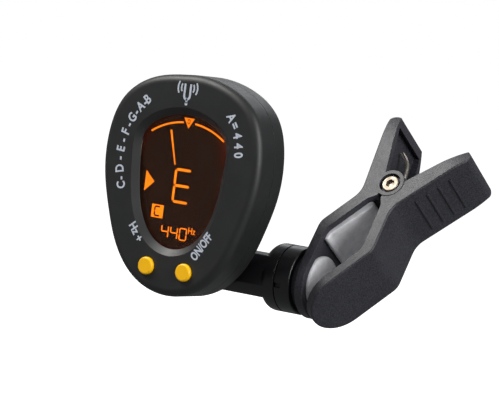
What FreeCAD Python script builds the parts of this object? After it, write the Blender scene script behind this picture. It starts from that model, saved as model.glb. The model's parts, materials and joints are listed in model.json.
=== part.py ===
import FreeCAD, Part
import math
import os

# Clip on tuner for an instrument headstock. Millimetres, +Z up, the display faces -Y.
# Origin: on the barrel axis (X), at the face of the rear jaw's tip pad, where the headstock rests.

V = FreeCAD.Vector

# ---- driving dimensions ------------------------------------------------------------------

# head shell outline, right half, seen from the front: (x, z) from the top to the bottom
HEAD_OUTLINE = [(0, 27.6), (10.8, 26.1), (19.8, 20.2), (23.3, 10.0), (22.9, 0.0),
                (20.5, -8.5), (16.9, -17.0), (10.0, -24.5), (0, -27.4)]
# display window, right half
WINDOW_OUTLINE = [(0, 17.7), (6.8, 16.3), (12.0, 12.4), (12.6, 5.2), (12.1, 0.0),
                  (11.2, -4.8), (9.4, -9.4), (5.7, -13.8), (0, -15.7)]
HEAD_DEPTH = 13.0
PARTING_DEPTH = 6.9          # front shell's share of the depth
SEAM_GAP = 0.15              # shadow gap between the two shells
FRONT_RIM = 2.0              # rounding of the front edge
REAR_RIM = 2.5               # rounding of the rear edge
SHELL_WALL = 1.6
FACE_THICKNESS = 2.4
BEVEL_WIDTH = 1.7            # funnel ring round the window
BEVEL_DEPTH = 1.4
FIT = 0.1                    # loose fit between parts of the head

# layers of the head, measured back from the face
LENS_DEPTH = 1.45
LENS_THICKNESS = 0.9
PANEL_DEPTH = 2.45
PANEL_THICKNESS = 1.8
DIFFUSER_DEPTH = 4.35
DIFFUSER_THICKNESS = 0.6
BOARD_DEPTH = 5.6
BOARD_THICKNESS = 1.0
BOARD_INSET = 2.65           # inside the rear shell's lip
PANEL_TOP = 18.6
PANEL_HALF_WIDTH = 13.3
PANEL_CORNER_Z = -5.0        # the lower corners are cut from here down
PANEL_FOOT_HALF = 7.5
PANEL_BOTTOM = -16.8
FRAME_WALL = 1.0

# push buttons
BUTTON_X = 5.7
BUTTON_Z = -20.7
BUTTON_RADIUS = 2.2
BUTTON_PROUD = 0.9
BUTTON_EDGE = 0.45
BUTTON_FLANGE_RADIUS = 2.7
BUTTON_TRAVEL = 0.4
SWITCH_TOP = 3.97            # depth of the tact switches' domes

# coin cell and its cover in the rear shell
CELL_RADIUS = 10.0
CELL_THICKNESS = 3.2
CELL_DEPTH = 7.6
CELL_Z = 5.5
COVER_RADIUS = 11.0
BAY_WALL = 1.1

# fasteners of the head: (x, z)
CASE_SCREWS = [(16.5, 14.5), (-16.5, 14.5), (13.0, -15.5), (-13.0, -15.5)]
BOARD_SCREWS = [(17.6, -1.5), (-17.6, -1.5)]
CASE_BOSS_RADIUS = 2.2
BOARD_BOSS_RADIUS = 1.8

# arm: fork at the head, stub, and the first disc of the barrel
ARM_BEHIND_FACE = 21.5       # barrel axis behind the display face
ARM_BELOW_CENTRE = 19.5      # barrel axis below the middle of the head
HINGE_TO_SEAM = 23.3
STUB_RADIUS = 5.3
DISC_RADIUS = 8.5
ARM_DISC_LENGTH = 4.8
ARM_DISC_EDGE = 2.4
FLUSH_FRONT = 8.2            # the stub's front lies almost flush with the barrel, behind the shell
FLUSH_EDGE = 0.8
FORK_SLOT = 4.4
FORK_DEPTH = 5.8             # slot floor, from the hinge axis
TONGUE_THICKNESS = 3.6
TONGUE_HALF_WIDTH = 4.0
HINGE_PIN_RADIUS = 1.25
PIN_CLEARANCE = 0.06

# second disc of the barrel, fixed to the rear jaw
DISC_GAP = 0.15
SWIVEL_DISC_LENGTH = 4.5
NECK_LENGTH = 1.75
NECK_RADIUS = 7.2
BARREL_SCREW_RADIUS = 1.5

# clip: both jaws are one profile, mirrored about the plane through the pivot
CLIP_WIDTH = 17.8
CLIP_LEAN = 32.6             # turn of the clip about the barrel axis, degrees
JAW_TOE_IN = 17.5            # tip sections lean in to each other by this, each
BARREL_TO_PIVOT = 26.4       # along the rear jaw's tip section
TIP_FACE_TO_PIVOT = 14.1     # outer tip face to pivot, along the barrel axis
TIP_THICKNESS = 2.5          # outer face to the rim of the tip section
PLATE_SHIFT = 1.75           # outer face to tray floor, across the clip
SIDE_WALL = 1.8
HANDLE_END = 17.0            # from the pivot, along the clip
HANDLE_END_WALL = 2.3
HANDLE_CORNER = [(10.6, 8.9), (14.4, 8.35), (17.0, 7.5)]    # arc at each corner: along, wide
JAW_EDGE = 0.5               # rounding between a jaw's outer face and its sides
PIVOT_BOSS_RADIUS = 3.7
LUG_RADIUS = 3.4
LUG_THICKNESS = 1.8
LUG_CLEARANCE = 0.2
PIVOT_SLEEVE_RADIUS = 1.8
PIVOT_SCREW_RADIUS = 1.25
PIVOT_HEAD_RADIUS = 2.2
PIVOT_COUNTERBORE = 2.75
PIVOT_SOCKET_RADIUS = 1.2    # to the corners of the hexagon
RIB_PITCH = 3.0
RIB_COUNT = 4
RIB_HALF_LENGTH = 6.1
PAD_PROUD = 0.6              # pads stand this far above the tray rim
PAD_GAP = 0.15
REAR_PAD_TOP = (0.5, -5.7)   # the rear mid pad reaches further up, clear of the lugs
SPRING_WIRE = 0.9
SPRING_COIL_RADIUS = 2.6
SPRING_HALF_LENGTH = 4.7
SPRING_LEG = [(2.6, 0.0), (3.4, 4.0), (6.1, 9.2), (9.7, 11.2)]      # across, along

# ---- worked out from them ----------------------------------------------------------------

HALF_WIDTH = CLIP_WIDTH / 2
TOE = math.radians(JAW_TOE_IN)
LEAN = math.radians(CLIP_LEAN)
WALL_INSIDE = HALF_WIDTH - SIDE_WALL
BACK_WALL = HEAD_DEPTH - SHELL_WALL
BOARD_BACK = BOARD_DEPTH + BOARD_THICKNESS

# along the barrel axis, from the origin
TIP_RIM_X = -PAD_PROUD
TIP_FACE_X = TIP_RIM_X - TIP_THICKNESS
DISC_END_X = TIP_FACE_X - NECK_LENGTH
SEAM_X = DISC_END_X - SWIVEL_DISC_LENGTH - DISC_GAP
PIVOT_X = TIP_FACE_X + TIP_FACE_TO_PIVOT
HINGE_X = SEAM_X - HINGE_TO_SEAM
HEAD_ORIGIN = V(HINGE_X, -ARM_BEHIND_FACE, ARM_BELOW_CENTRE)

# clip axes in the row's frame: across (towards the front jaw), along (towards the handles), wide
AXIS_UP = V(0, math.sin(LEAN), math.cos(LEAN))
AXIS_WIDE = V(0, -math.cos(LEAN), math.sin(LEAN))
AXIS_ALONG = AXIS_UP * math.cos(TOE) + V(math.sin(TOE), 0, 0)
AXIS_ACROSS = V(math.cos(TOE), 0, 0) - AXIS_UP * math.sin(TOE)
PIVOT = V(PIVOT_X, 0, 0) + AXIS_UP * BARREL_TO_PIVOT

os.makedirs("parts", exist_ok=True)


# ---- helpers -----------------------------------------------------------------------------

def save(name, shape):
    shape.exportStep(f"parts/{name}.step")
    print(f"{name}: {len(shape.Solids)} solid(s), {shape.Volume:.1f} mm3, valid {shape.isValid()}")


def fuse(shapes):
    return shapes[0].multiFuse(shapes[1:]).removeSplitter()


def cylinder(radius, start, direction, length):
    return Part.makeCylinder(radius, length, start, direction)


def back_cylinder(radius, x, z, near, far):
    """A cylinder in the head, from one depth behind the face to another."""
    return cylinder(radius, V(x, near, z), V(0, 1, 0), far - near)


def full_outline(half):
    """Both sides of a symmetrical outline given by its right half."""
    return half + [(-x, z) for x, z in reversed(half[1:-1])]


def inset_outline(points, inset):
    """Moves each point of a closed outline inwards, square to the chord of its neighbours."""
    moved = []
    for i, (x, z) in enumerate(points):
        before = points[i - 1]
        after = points[(i + 1) % len(points)]
        dx, dz = after[0] - before[0], after[1] - before[1]
        length = math.hypot(dx, dz)
        moved.append((x + inset * dz / length, z - inset * dx / length))
    return moved


def outline_face(half, inset, depth):
    points = [V(x, depth, z) for x, z in inset_outline(full_outline(half), inset)]
    curve = Part.BSplineCurve()
    curve.interpolate(Points=points, PeriodicFlag=True)
    return Part.Face(Part.Wire(curve.toShape()))


def outline_slab(half, inset, near, far):
    return outline_face(half, inset, near).extrude(V(0, far - near, 0))


def round_edges_at(shape, depth, radius):
    """Fillets the edges that lie wholly at one depth behind the face."""
    edges = [e for e in shape.Edges
             if abs(e.BoundBox.YMin - depth) < 1e-3 and abs(e.BoundBox.YMax - depth) < 1e-3]
    return shape.makeFillet(radius, edges)


def rounded_wire(points, radii, closed=True, to_vector=lambda a, b: V(a, b, 0)):
    """Straight runs through 2-D points, joined by tangent arcs of the given radii."""
    count = len(points)
    ends = []
    for i, (point, radius) in enumerate(zip(points, radii)):
        corner = V(point[0], point[1], 0)
        if radius == 0 or (not closed and i in (0, count - 1)):
            ends.append((corner, None, corner))
            continue
        before = V(*points[i - 1], 0) - corner
        after = V(*points[(i + 1) % count], 0) - corner
        before.normalize()
        after.normalize()
        half = math.acos(max(-1, min(1, before.dot(after)))) / 2
        middle = before + after
        middle.normalize()
        cut = radius / math.tan(half)
        centre = corner + middle * (radius / math.sin(half))
        ends.append((corner + before * cut, centre - middle * radius, corner + after * cut))
    place = lambda v: to_vector(v.x, v.y)
    edges = []
    for i, (enter, top, leave) in enumerate(ends):
        if top is not None:
            edges.append(Part.Arc(place(enter), place(top), place(leave)).toShape())
        if not closed and i == count - 1:
            break
        following = ends[(i + 1) % count][0]
        if (following - leave).Length > 1e-6:
            edges.append(Part.LineSegment(place(leave), place(following)).toShape())
    return Part.Wire(edges)


def prism(points, radii, low, high):
    """A clip profile (across, along), run along the clip's width."""
    wire = rounded_wire(points, radii, to_vector=lambda a, b: V(a, b, low))
    return Part.Face(wire).extrude(V(0, 0, high - low))


def both_sides(points, radii, inside, outside):
    """The same prism at both sides of the clip."""
    return prism(points, radii, inside, outside).fuse(prism(points, radii, -outside, -inside))


def front_side(shape):
    """Places a piece made in clip axes on the front jaw's side."""
    matrix = FreeCAD.Matrix(
        AXIS_ACROSS.x, AXIS_ALONG.x, AXIS_WIDE.x, PIVOT.x,
        AXIS_ACROSS.y, AXIS_ALONG.y, AXIS_WIDE.y, PIVOT.y,
        AXIS_ACROSS.z, AXIS_ALONG.z, AXIS_WIDE.z, PIVOT.z,
        0, 0, 0, 1)
    placed = shape.copy()
    placed.Placement = FreeCAD.Placement(matrix).multiply(placed.Placement)
    return placed


def rear_side(shape):
    """Mirrors a piece made for the front jaw, then places it on the rear jaw's side."""
    return front_side(shape.mirror(V(0, 0, 0), V(1, 0, 0)))


def head_piece(shape):
    placed = shape.copy()
    placed.translate(HEAD_ORIGIN)
    return placed


# ---- head shells -------------------------------------------------------------------------

def front_shell():
    shell = outline_slab(HEAD_OUTLINE, 0, 0, PARTING_DEPTH)
    shell = round_edges_at(shell, 0, FRONT_RIM)
    shell = shell.cut(outline_slab(HEAD_OUTLINE, SHELL_WALL, FACE_THICKNESS, PARTING_DEPTH + 1))
    for x, z in CASE_SCREWS:
        shell = shell.fuse(back_cylinder(CASE_BOSS_RADIUS, x, z, 1.5, 10.2))
    for x, z in BOARD_SCREWS:
        shell = shell.fuse(back_cylinder(BOARD_BOSS_RADIUS, x, z, 1.5, BOARD_DEPTH - 0.05))
    funnel = Part.makeLoft([outline_face(WINDOW_OUTLINE, -BEVEL_WIDTH, 0).OuterWire,
                            outline_face(WINDOW_OUTLINE, 0, BEVEL_DEPTH).OuterWire], True, True)
    shell = shell.cut(funnel)
    shell = shell.cut(outline_slab(WINDOW_OUTLINE, -0.9, BEVEL_DEPTH, FACE_THICKNESS + 1))
    for side in (-1, 1):
        shell = shell.cut(back_cylinder(BUTTON_RADIUS + FIT, side * BUTTON_X, BUTTON_Z, -1, 3))
    for x, z in CASE_SCREWS:
        shell = shell.cut(back_cylinder(1.0, x, z, 4, 12))
    for x, z in BOARD_SCREWS:
        shell = shell.cut(back_cylinder(0.8, x, z, 3, 7))
    return shell.removeSplitter()


def hinge_tongue():
    """Lug on the rear shell that the arm's fork holds."""
    reach = ARM_BEHIND_FACE
    low = -ARM_BELOW_CENTRE - TONGUE_THICKNESS / 2
    block = Part.makeBox(2 * TONGUE_HALF_WIDTH, reach - BACK_WALL, TONGUE_THICKNESS,
                         V(-TONGUE_HALF_WIDTH, BACK_WALL, low))
    nose = cylinder(TONGUE_HALF_WIDTH, V(0, reach, low), V(0, 0, 1), TONGUE_THICKNESS)
    foot = Part.makeBox(14, 1.2, 9, V(-7, HEAD_DEPTH - 0.2, -ARM_BELOW_CENTRE - 4.5))
    foot = foot.makeFillet(0.9, [e for e in foot.Edges if e.BoundBox.YMin > HEAD_DEPTH])
    bore = cylinder(HINGE_PIN_RADIUS + PIN_CLEARANCE, V(0, reach, low - 1), V(0, 0, 1), 8)
    return fuse([block, nose, foot]).cut(bore)


def rear_shell():
    start = PARTING_DEPTH + SEAM_GAP
    shell = outline_slab(HEAD_OUTLINE, 0, start, HEAD_DEPTH)
    shell = round_edges_at(shell, HEAD_DEPTH, REAR_RIM)
    shell = shell.cut(outline_slab(HEAD_OUTLINE, SHELL_WALL, start - 1, BACK_WALL))
    lip = outline_slab(HEAD_OUTLINE, SHELL_WALL + FIT, start - 0.9, start + 0.1)
    lip = lip.fuse(outline_slab(HEAD_OUTLINE, SHELL_WALL - FIT, start, start + 1.5))
    lip = lip.cut(outline_slab(HEAD_OUTLINE, SHELL_WALL + 0.9, start - 2, start + 3))
    bay = back_cylinder(COVER_RADIUS + FIT + BAY_WALL, 0, CELL_Z, BOARD_BACK + 0.5, BACK_WALL + 0.5)
    shell = fuse([shell, lip, bay, hinge_tongue()])
    shell = shell.cut(back_cylinder(COVER_RADIUS + FIT, 0, CELL_Z, BOARD_BACK, HEAD_DEPTH + 1))
    seat = back_cylinder(COVER_RADIUS + 1, 0, CELL_Z, BACK_WALL - 0.6, BACK_WALL)
    shell = shell.fuse(seat.cut(back_cylinder(CELL_RADIUS + 0.3, 0, CELL_Z, 9, 14)))
    for x, z in CASE_SCREWS:
        shell = shell.cut(back_cylinder(CASE_BOSS_RADIUS + FIT, x, z, 5, 10.3))
        shell = shell.cut(back_cylinder(1.15, x, z, 9, 14))
        shell = shell.cut(back_cylinder(2.0, x, z, 11.7, 14))
    return shell.removeSplitter()


def battery_cover():
    """Round cover with a coin slot, turned to open."""
    cover = back_cylinder(COVER_RADIUS, 0, CELL_Z, BACK_WALL + 0.05, HEAD_DEPTH - 0.05)
    edges = [e for e in cover.Edges if abs(e.BoundBox.YMin - HEAD_DEPTH + 0.05) < 1e-3]
    cover = cover.makeFillet(0.4, edges)
    slot = Part.makeBox(13, 2, 1.8, V(-6.5, HEAD_DEPTH - 0.95, CELL_Z - 0.9))
    pip = back_cylinder(0.6, 0, CELL_Z + 8.8, HEAD_DEPTH - 0.35, HEAD_DEPTH + 1)
    return cover.cut(slot).cut(pip)


# ---- display stack -----------------------------------------------------------------------

def panel_outline(grow):
    half = PANEL_HALF_WIDTH + grow
    foot = PANEL_FOOT_HALF + grow
    top = PANEL_TOP + grow
    bottom = PANEL_BOTTOM - grow
    return [(half, top), (half, PANEL_CORNER_Z), (foot, bottom),
            (-foot, bottom), (-half, PANEL_CORNER_Z), (-half, top)]


def panel_slab(grow, near, far):
    wire = Part.makePolygon([V(x, near, z) for x, z in panel_outline(grow) + panel_outline(grow)[:1]])
    return Part.Face(wire).extrude(V(0, far - near, 0))


def display_lens():
    return outline_slab(WINDOW_OUTLINE, -0.8, LENS_DEPTH, LENS_DEPTH + LENS_THICKNESS)


def display_panel():
    return panel_slab(0, PANEL_DEPTH, PANEL_DEPTH + PANEL_THICKNESS)


def display_frame():
    ring = panel_slab(FRAME_WALL, PANEL_DEPTH, BOARD_DEPTH - 0.05)
    return ring.cut(panel_slab(0.05, PANEL_DEPTH - 1, BOARD_DEPTH + 1))


def backlight_diffuser():
    slab = panel_slab(-0.4, DIFFUSER_DEPTH, DIFFUSER_DEPTH + DIFFUSER_THICKNESS)
    strip_room = Part.makeBox(40, 4, 6, V(-20, DIFFUSER_DEPTH - 1, PANEL_BOTTOM - 2))
    return slab.cut(strip_room)


def backlight_leds():
    first = DIFFUSER_DEPTH + DIFFUSER_THICKNESS + 0.05
    return Part.makeCompound([Part.makeBox(3, BOARD_DEPTH - first, 1.4, V(x - 1.5, first, z))
                              for x in (-7, 7) for z in (-8, 3, 13)])


def contact_strip():
    near = PANEL_DEPTH + PANEL_THICKNESS
    return Part.makeBox(13, BOARD_DEPTH - near, 1.6, V(-6.5, near, PANEL_BOTTOM + 0.4))


# ---- electronics -------------------------------------------------------------------------

def circuit_board():
    board = outline_slab(HEAD_OUTLINE, BOARD_INSET, BOARD_DEPTH, BOARD_BACK)
    for x, z in CASE_SCREWS:
        board = board.cut(back_cylinder(CASE_BOSS_RADIUS + 0.2, x, z, 5, 8))
    for x, z in BOARD_SCREWS:
        board = board.cut(back_cylinder(0.9, x, z, 5, 8))
    return board


def controller_chip():
    return Part.makeBox(7, 1.0, 7, V(-3.5, BOARD_BACK, -17))


def tact_switches():
    switches = []
    for side in (-1, 1):
        body = Part.makeBox(4.2, 1.25, 4.2, V(side * BUTTON_X - 2.1, 4.35, BUTTON_Z - 2.1))
        dome = back_cylinder(0.9, side * BUTTON_X, BUTTON_Z, SWITCH_TOP, 4.36)
        switches.append(body.fuse(dome))
    return Part.makeCompound(switches)


def button(side):
    x = side * BUTTON_X
    cap = back_cylinder(BUTTON_RADIUS, x, BUTTON_Z, -BUTTON_PROUD, FACE_THICKNESS + 0.1)
    edges = [e for e in cap.Edges if abs(e.BoundBox.YMax + BUTTON_PROUD) < 1e-3]
    cap = cap.makeFillet(BUTTON_EDGE, edges)
    flange = back_cylinder(BUTTON_FLANGE_RADIUS, x, BUTTON_Z, FACE_THICKNESS + 0.05, 3.0)
    stem = back_cylinder(1.4, x, BUTTON_Z, 2.9, SWITCH_TOP - BUTTON_TRAVEL - 0.07)
    return fuse([cap, flange, stem])


def piezo_pickup():
    brass = back_cylinder(6.0, 0, -13.6, BACK_WALL - 0.25, BACK_WALL)
    crystal = back_cylinder(4.2, 0, -13.6, BACK_WALL - 0.45, BACK_WALL - 0.25)
    return brass.fuse(crystal)


def coin_cell():
    cell = back_cylinder(CELL_RADIUS, 0, CELL_Z, CELL_DEPTH, CELL_DEPTH + CELL_THICKNESS)
    return cell.makeFillet(0.35, cell.Edges)


def battery_contact_minus():
    """Leaf under the cell: a pad on the board and a tongue bent up to the cell."""
    path = rounded_wire([(-5, 0.15), (0.5, 0.15), (4.5, 0.8), (6.5, 0.8)], [0, 0.8, 0.8, 0],
                        closed=False, to_vector=lambda a, b: V(a, BOARD_BACK + b, CELL_Z - 1.5))
    across = Part.makePolygon([V(-5, BOARD_BACK + 0.03, CELL_Z - 1.5), V(-5, BOARD_BACK + 0.27, CELL_Z - 1.5),
                               V(-5, BOARD_BACK + 0.27, CELL_Z + 1.5), V(-5, BOARD_BACK + 0.03, CELL_Z + 1.5),
                               V(-5, BOARD_BACK + 0.03, CELL_Z - 1.5)])
    return path.makePipeShell([across], True, True)


def battery_contact_plus():
    """Upright tab that touches the cell's rim."""
    tab = Part.makeBox(0.3, 4.0, 4.0, V(CELL_RADIUS + 0.05, BOARD_BACK, CELL_Z - 2))
    foot = Part.makeBox(2.2, 0.3, 4.0, V(CELL_RADIUS - 1.85, BOARD_BACK, CELL_Z - 2))
    return tab.fuse(foot).removeSplitter()


def screw_in_head(x, z, head_near, head_far, head_radius, shank_radius, tip):
    """A screw driven in from the back, with a cross recess in its head."""
    head = back_cylinder(head_radius, x, z, head_near, head_far)
    shank = back_cylinder(shank_radius, x, z, tip, head_near)
    screw = head.fuse(shank)
    bar = head_radius * 1.1
    for length, height in ((bar, 0.35), (0.35, bar)):
        screw = screw.cut(Part.makeBox(length, 1, height,
                                       V(x - length / 2, head_far - 0.5, z - height / 2)))
    return screw


def case_screws():
    return Part.makeCompound([screw_in_head(x, z, 11.72, 12.75, 1.85, 1.0, 5) for x, z in CASE_SCREWS])


def board_screws():
    return Part.makeCompound([screw_in_head(x, z, BOARD_BACK, BOARD_BACK + 0.9, 1.6, 0.8, 3.2)
                              for x, z in BOARD_SCREWS])


# ---- arm and barrel ----------------------------------------------------------------------

def flush_front():
    """Front of the stub: the barrel's own curve, ramped away before the fork."""
    ramp = HINGE_X + FORK_DEPTH
    plan = [(ramp, -STUB_RADIUS + 1), (ramp + 2.5, -FLUSH_FRONT), (SEAM_X - 1, -FLUSH_FRONT),
            (SEAM_X - 1, 0), (ramp, 0)]
    slab = prism(plan, [0] * 5, -STUB_RADIUS, STUB_RADIUS)
    slab = slab.common(cylinder(DISC_RADIUS, V(ramp - 1, 0, 0), V(1, 0, 0), HINGE_TO_SEAM))
    rims = [e for e in slab.Edges if e.BoundBox.XLength > 8 and e.BoundBox.YMax < -6
            and min(abs(e.BoundBox.ZMin), abs(e.BoundBox.ZMax)) > STUB_RADIUS - 0.1]
    return slab.makeFillet(FLUSH_EDGE, rims)


def arm():
    stub = cylinder(STUB_RADIUS, V(HINGE_X - STUB_RADIUS, 0, 0), V(1, 0, 0),
                    HINGE_TO_SEAM + STUB_RADIUS - 1)
    nose = cylinder(STUB_RADIUS, V(HINGE_X, 0, -10), V(0, 0, 1), 20)
    beam = Part.makeBox(HINGE_TO_SEAM, 20, 20, V(HINGE_X, -10, -10))
    stub = fuse([stub.common(nose.fuse(beam)), flush_front()])
    disc = cylinder(DISC_RADIUS, V(SEAM_X - ARM_DISC_LENGTH, 0, 0), V(1, 0, 0), ARM_DISC_LENGTH)
    edges = [e for e in disc.Edges if abs(e.BoundBox.XMax - SEAM_X + ARM_DISC_LENGTH) < 1e-3]
    disc = disc.makeFillet(ARM_DISC_EDGE, edges)
    body = fuse([stub, disc])
    slot = Part.makeBox(STUB_RADIUS + 1 + FORK_DEPTH, 20, FORK_SLOT,
                        V(HINGE_X - STUB_RADIUS - 1, -10, -FORK_SLOT / 2))
    pin_hole = cylinder(HINGE_PIN_RADIUS, V(HINGE_X, 0, -6), V(0, 0, 1), 12)
    screw_hole = cylinder(BARREL_SCREW_RADIUS, V(SEAM_X - 6, 0, 0), V(1, 0, 0), 7)
    return body.cut(slot).cut(pin_hole).cut(screw_hole)


def hinge_pin():
    length = 2 * STUB_RADIUS - 0.8
    pin = cylinder(HINGE_PIN_RADIUS, V(HINGE_X, 0, -length / 2), V(0, 0, 1), length)
    return pin.makeChamfer(0.2, [e for e in pin.Edges if e.BoundBox.ZLength < 1e-3])


def ring(outer, inner, start, direction, length):
    return cylinder(outer, start, direction, length).cut(cylinder(inner, start, direction, length))


def hinge_washers():
    gap = 0.02
    thickness = (FORK_SLOT - TONGUE_THICKNESS) / 2 - 2 * gap
    lows = (TONGUE_THICKNESS / 2 + gap, -FORK_SLOT / 2 + gap)
    return Part.makeCompound([ring(3.6, HINGE_PIN_RADIUS + 0.03, V(HINGE_X, 0, low), V(0, 0, 1), thickness)
                              for low in lows])


def swivel_disc():
    start = SEAM_X + DISC_GAP
    disc = cylinder(DISC_RADIUS, V(start, 0, 0), V(1, 0, 0), SWIVEL_DISC_LENGTH)
    disc = disc.makeFillet(0.35, [e for e in disc.Edges if e.BoundBox.XLength < 1e-3])
    bore = cylinder(BARREL_SCREW_RADIUS + PIN_CLEARANCE, V(start - 1, 0, 0), V(1, 0, 0), 8)
    washer_seat = cylinder(5.6, V(start - 1, 0, 0), V(1, 0, 0), 1.5)
    notch = Part.makeBox(2.2, 2.0, 1.2, V(start - 0.1, -DISC_RADIUS - 1, -2.0))
    return disc.cut(bore).cut(washer_seat).cut(notch)


def friction_washer():
    return ring(5.5, BARREL_SCREW_RADIUS + 0.1, V(SEAM_X + 0.12, 0, 0), V(1, 0, 0), 0.5)


def wave_washer():
    return ring(3.5, BARREL_SCREW_RADIUS + 0.1, V(DISC_END_X + 0.03, 0, 0), V(1, 0, 0), 0.5)


def barrel_screw():
    """Holds the two discs together: headed at the jaw, threaded into the arm."""
    head_start = DISC_END_X + 0.6
    head = cylinder(3.2, V(head_start, 0, 0), V(1, 0, 0), 1.5)
    head = head.makeFillet(0.3, [e for e in head.Edges if e.BoundBox.XLength < 1e-3])
    shank = cylinder(BARREL_SCREW_RADIUS, V(SEAM_X - 5, 0, 0), V(1, 0, 0), head_start - SEAM_X + 5.2)
    cross = [Part.makeBox(1, a, b, V(head_start + 0.7, -a / 2, -b / 2)) for a, b in ((3.6, 0.7), (0.7, 3.6))]
    return head.fuse(shank).cut(fuse(cross))


# ---- clip, in clip axes: (across, along), width along Z ----------------------------------

def tip_point(down, height):
    """A point of the front jaw's tip section: how far below the pivot, how far in from the outer face."""
    out = TIP_FACE_TO_PIVOT - height
    return (out * math.cos(TOE) - down * math.sin(TOE), -down * math.cos(TOE) - out * math.sin(TOE))


TIP_END = BARREL_TO_PIVOT + HALF_WIDTH
TIP_OUTWARD = V(math.cos(TOE), -math.sin(TOE), 0)
TIP_CENTRE = V(*tip_point(BARREL_TO_PIVOT, 0), 0)
HANDLE_POINT = (14.8, HANDLE_END)
HANDLE_NOSE = 2.2            # rounding of the outer face into the handle's end
WAIST_POINT = (5.4, -5.4)
HANDLE_SLOPE = (HANDLE_POINT[0] - WAIST_POINT[0]) / (HANDLE_POINT[1] - WAIST_POINT[1])
BEND_POINT = (9.35, -17.25)
RIM_BEND_POINT = (6.35, -18.2)


def outer_line(shift):
    """Outer face of the jaw from the handle to the tip, moved in by shift."""
    points = [HANDLE_POINT, WAIST_POINT, BEND_POINT, tip_point(TIP_END, 0)]
    return [(a - shift, b) for a, b in points], [0, 6.0, 4.5, 0]


def jaw_profile():
    """Side view of one jaw: outer face down, then the rim back up to the handle."""
    points, radii = outer_line(0)
    rim = [tip_point(TIP_END, TIP_THICKNESS), RIM_BEND_POINT, (2.3, -6.2), (0.7, -4.4), (0.7, -1.0),
           (3.4, 2.3), (11.6, HANDLE_END)]
    return points + rim, radii + [0, 3.0, 2.0, 0, 0, 0, 0]


def tip_round(radius):
    """Plan shape that rounds the tip about the barrel axis and leaves the rest alone."""
    disc = Part.makeCylinder(radius, 40, TIP_CENTRE - TIP_OUTWARD * 20, TIP_OUTWARD)
    rest = Part.makeBox(40, 70, 2 * radius, V(-20, 0, -radius))
    angle = -math.degrees(TOE)
    rest.Placement = FreeCAD.Placement(TIP_CENTRE, FreeCAD.Rotation(V(0, 0, 1), angle))
    return disc.fuse(rest)


def handle_round():
    """Plan shape that rounds the two corners at the end of the handle."""
    near = [V(-5, along, wide) for along, wide in HANDLE_CORNER]
    far = [V(-5, along, -wide) for along, wide in HANDLE_CORNER]
    start, end = V(-5, -60, HALF_WIDTH), V(-5, -60, -HALF_WIDTH)
    edges = [Part.LineSegment(start, near[0]), Part.Arc(*near), Part.LineSegment(near[2], far[2]),
             Part.Arc(*far[::-1]), Part.LineSegment(far[0], end), Part.LineSegment(end, start)]
    return Part.Face(Part.Wire([edge.toShape() for edge in edges])).extrude(V(30, 0, 0))


def nose_cut():
    """What comes off to round the outer face into the handle's end."""
    face = V(1, -HANDLE_SLOPE, 0).normalize()
    end = V(0, 1, 0)
    centre = V(HANDLE_POINT[0] - HANDLE_NOSE * (HANDLE_SLOPE + 1 / face.x), HANDLE_END - HANDLE_NOSE, 0)
    wedge = [centre, centre + face * 6, centre + face * 6 + end * 6, centre + end * 6]
    corner = prism([(point.x, point.y) for point in wedge], [0] * 4, -CLIP_WIDTH, CLIP_WIDTH)
    low = centre - V(0, 0, CLIP_WIDTH)
    return corner.cut(cylinder(HANDLE_NOSE, low, V(0, 0, 1), 2 * CLIP_WIDTH))


def jaw_blank():
    points, radii = jaw_profile()
    blank = prism(points, radii, -HALF_WIDTH, HALF_WIDTH)
    blank = blank.common(handle_round()).common(tip_round(HALF_WIDTH))
    blank = blank.makeFillet(JAW_EDGE, [e for e in blank.Edges if on_outer_edge(e)])
    return blank.cut(nose_cut())


def on_outer_edge(edge):
    """True for the edges round a jaw's outer face, but not for the bends across it."""
    if edge.BoundBox.ZLength > CLIP_WIDTH - 1:
        return False
    first, last = edge.ParameterRange
    points = [edge.valueAt(parameter) for parameter in (first, (first + last) / 2, last)]
    return all(point.x > outer_across(point.y) - 0.6 for point in points)


def outer_across(along):
    """Distance of the outer face from the clip's middle plane at a height along the clip."""
    points = outer_line(0)[0]
    for (a0, b0), (a1, b1) in zip(points, points[1:]):
        if b1 <= along <= b0:
            return a1 + (a0 - a1) * (along - b1) / (b0 - b1)
    return points[0][0] if along > 0 else points[-1][0]


def tray():
    """What is cut out between the side walls, along the whole jaw."""
    line, radii = outer_line(PLATE_SHIFT)
    line[0] = (line[0][0] - 0.42 * HANDLE_END_WALL, HANDLE_END - HANDLE_END_WALL)
    shape = line + [(-12, line[-1][1]), (-12, line[0][1])]
    cut = prism(shape, radii + [0, 0], -WALL_INSIDE, WALL_INSIDE)
    return cut.common(tip_round(WALL_INSIDE))


def grip_ribs():
    """Raised bars across the outside of the handle."""
    lean = -math.degrees(math.atan(HANDLE_SLOPE))
    ribs = []
    for i in range(RIB_COUNT):
        along = i * RIB_PITCH
        across = WAIST_POINT[0] + HANDLE_SLOPE * (along - WAIST_POINT[1])
        rib = Part.makeBox(1.0, 0.7, 2 * RIB_HALF_LENGTH, V(-0.55, -0.35, -RIB_HALF_LENGTH))
        top = [e for e in rib.Edges if e.BoundBox.XMin > 0.4]
        rib = rib.makeFillet(0.25, top)
        rib.Placement = FreeCAD.Placement(V(across, along, 0), FreeCAD.Rotation(V(0, 0, 1), lean))
        ribs.append(rib)
    return ribs


def width_cylinder(radius, low, high):
    """A cylinder about the pivot axis."""
    return Part.makeCylinder(radius, high - low, V(0, 0, low), V(0, 0, 1))


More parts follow.
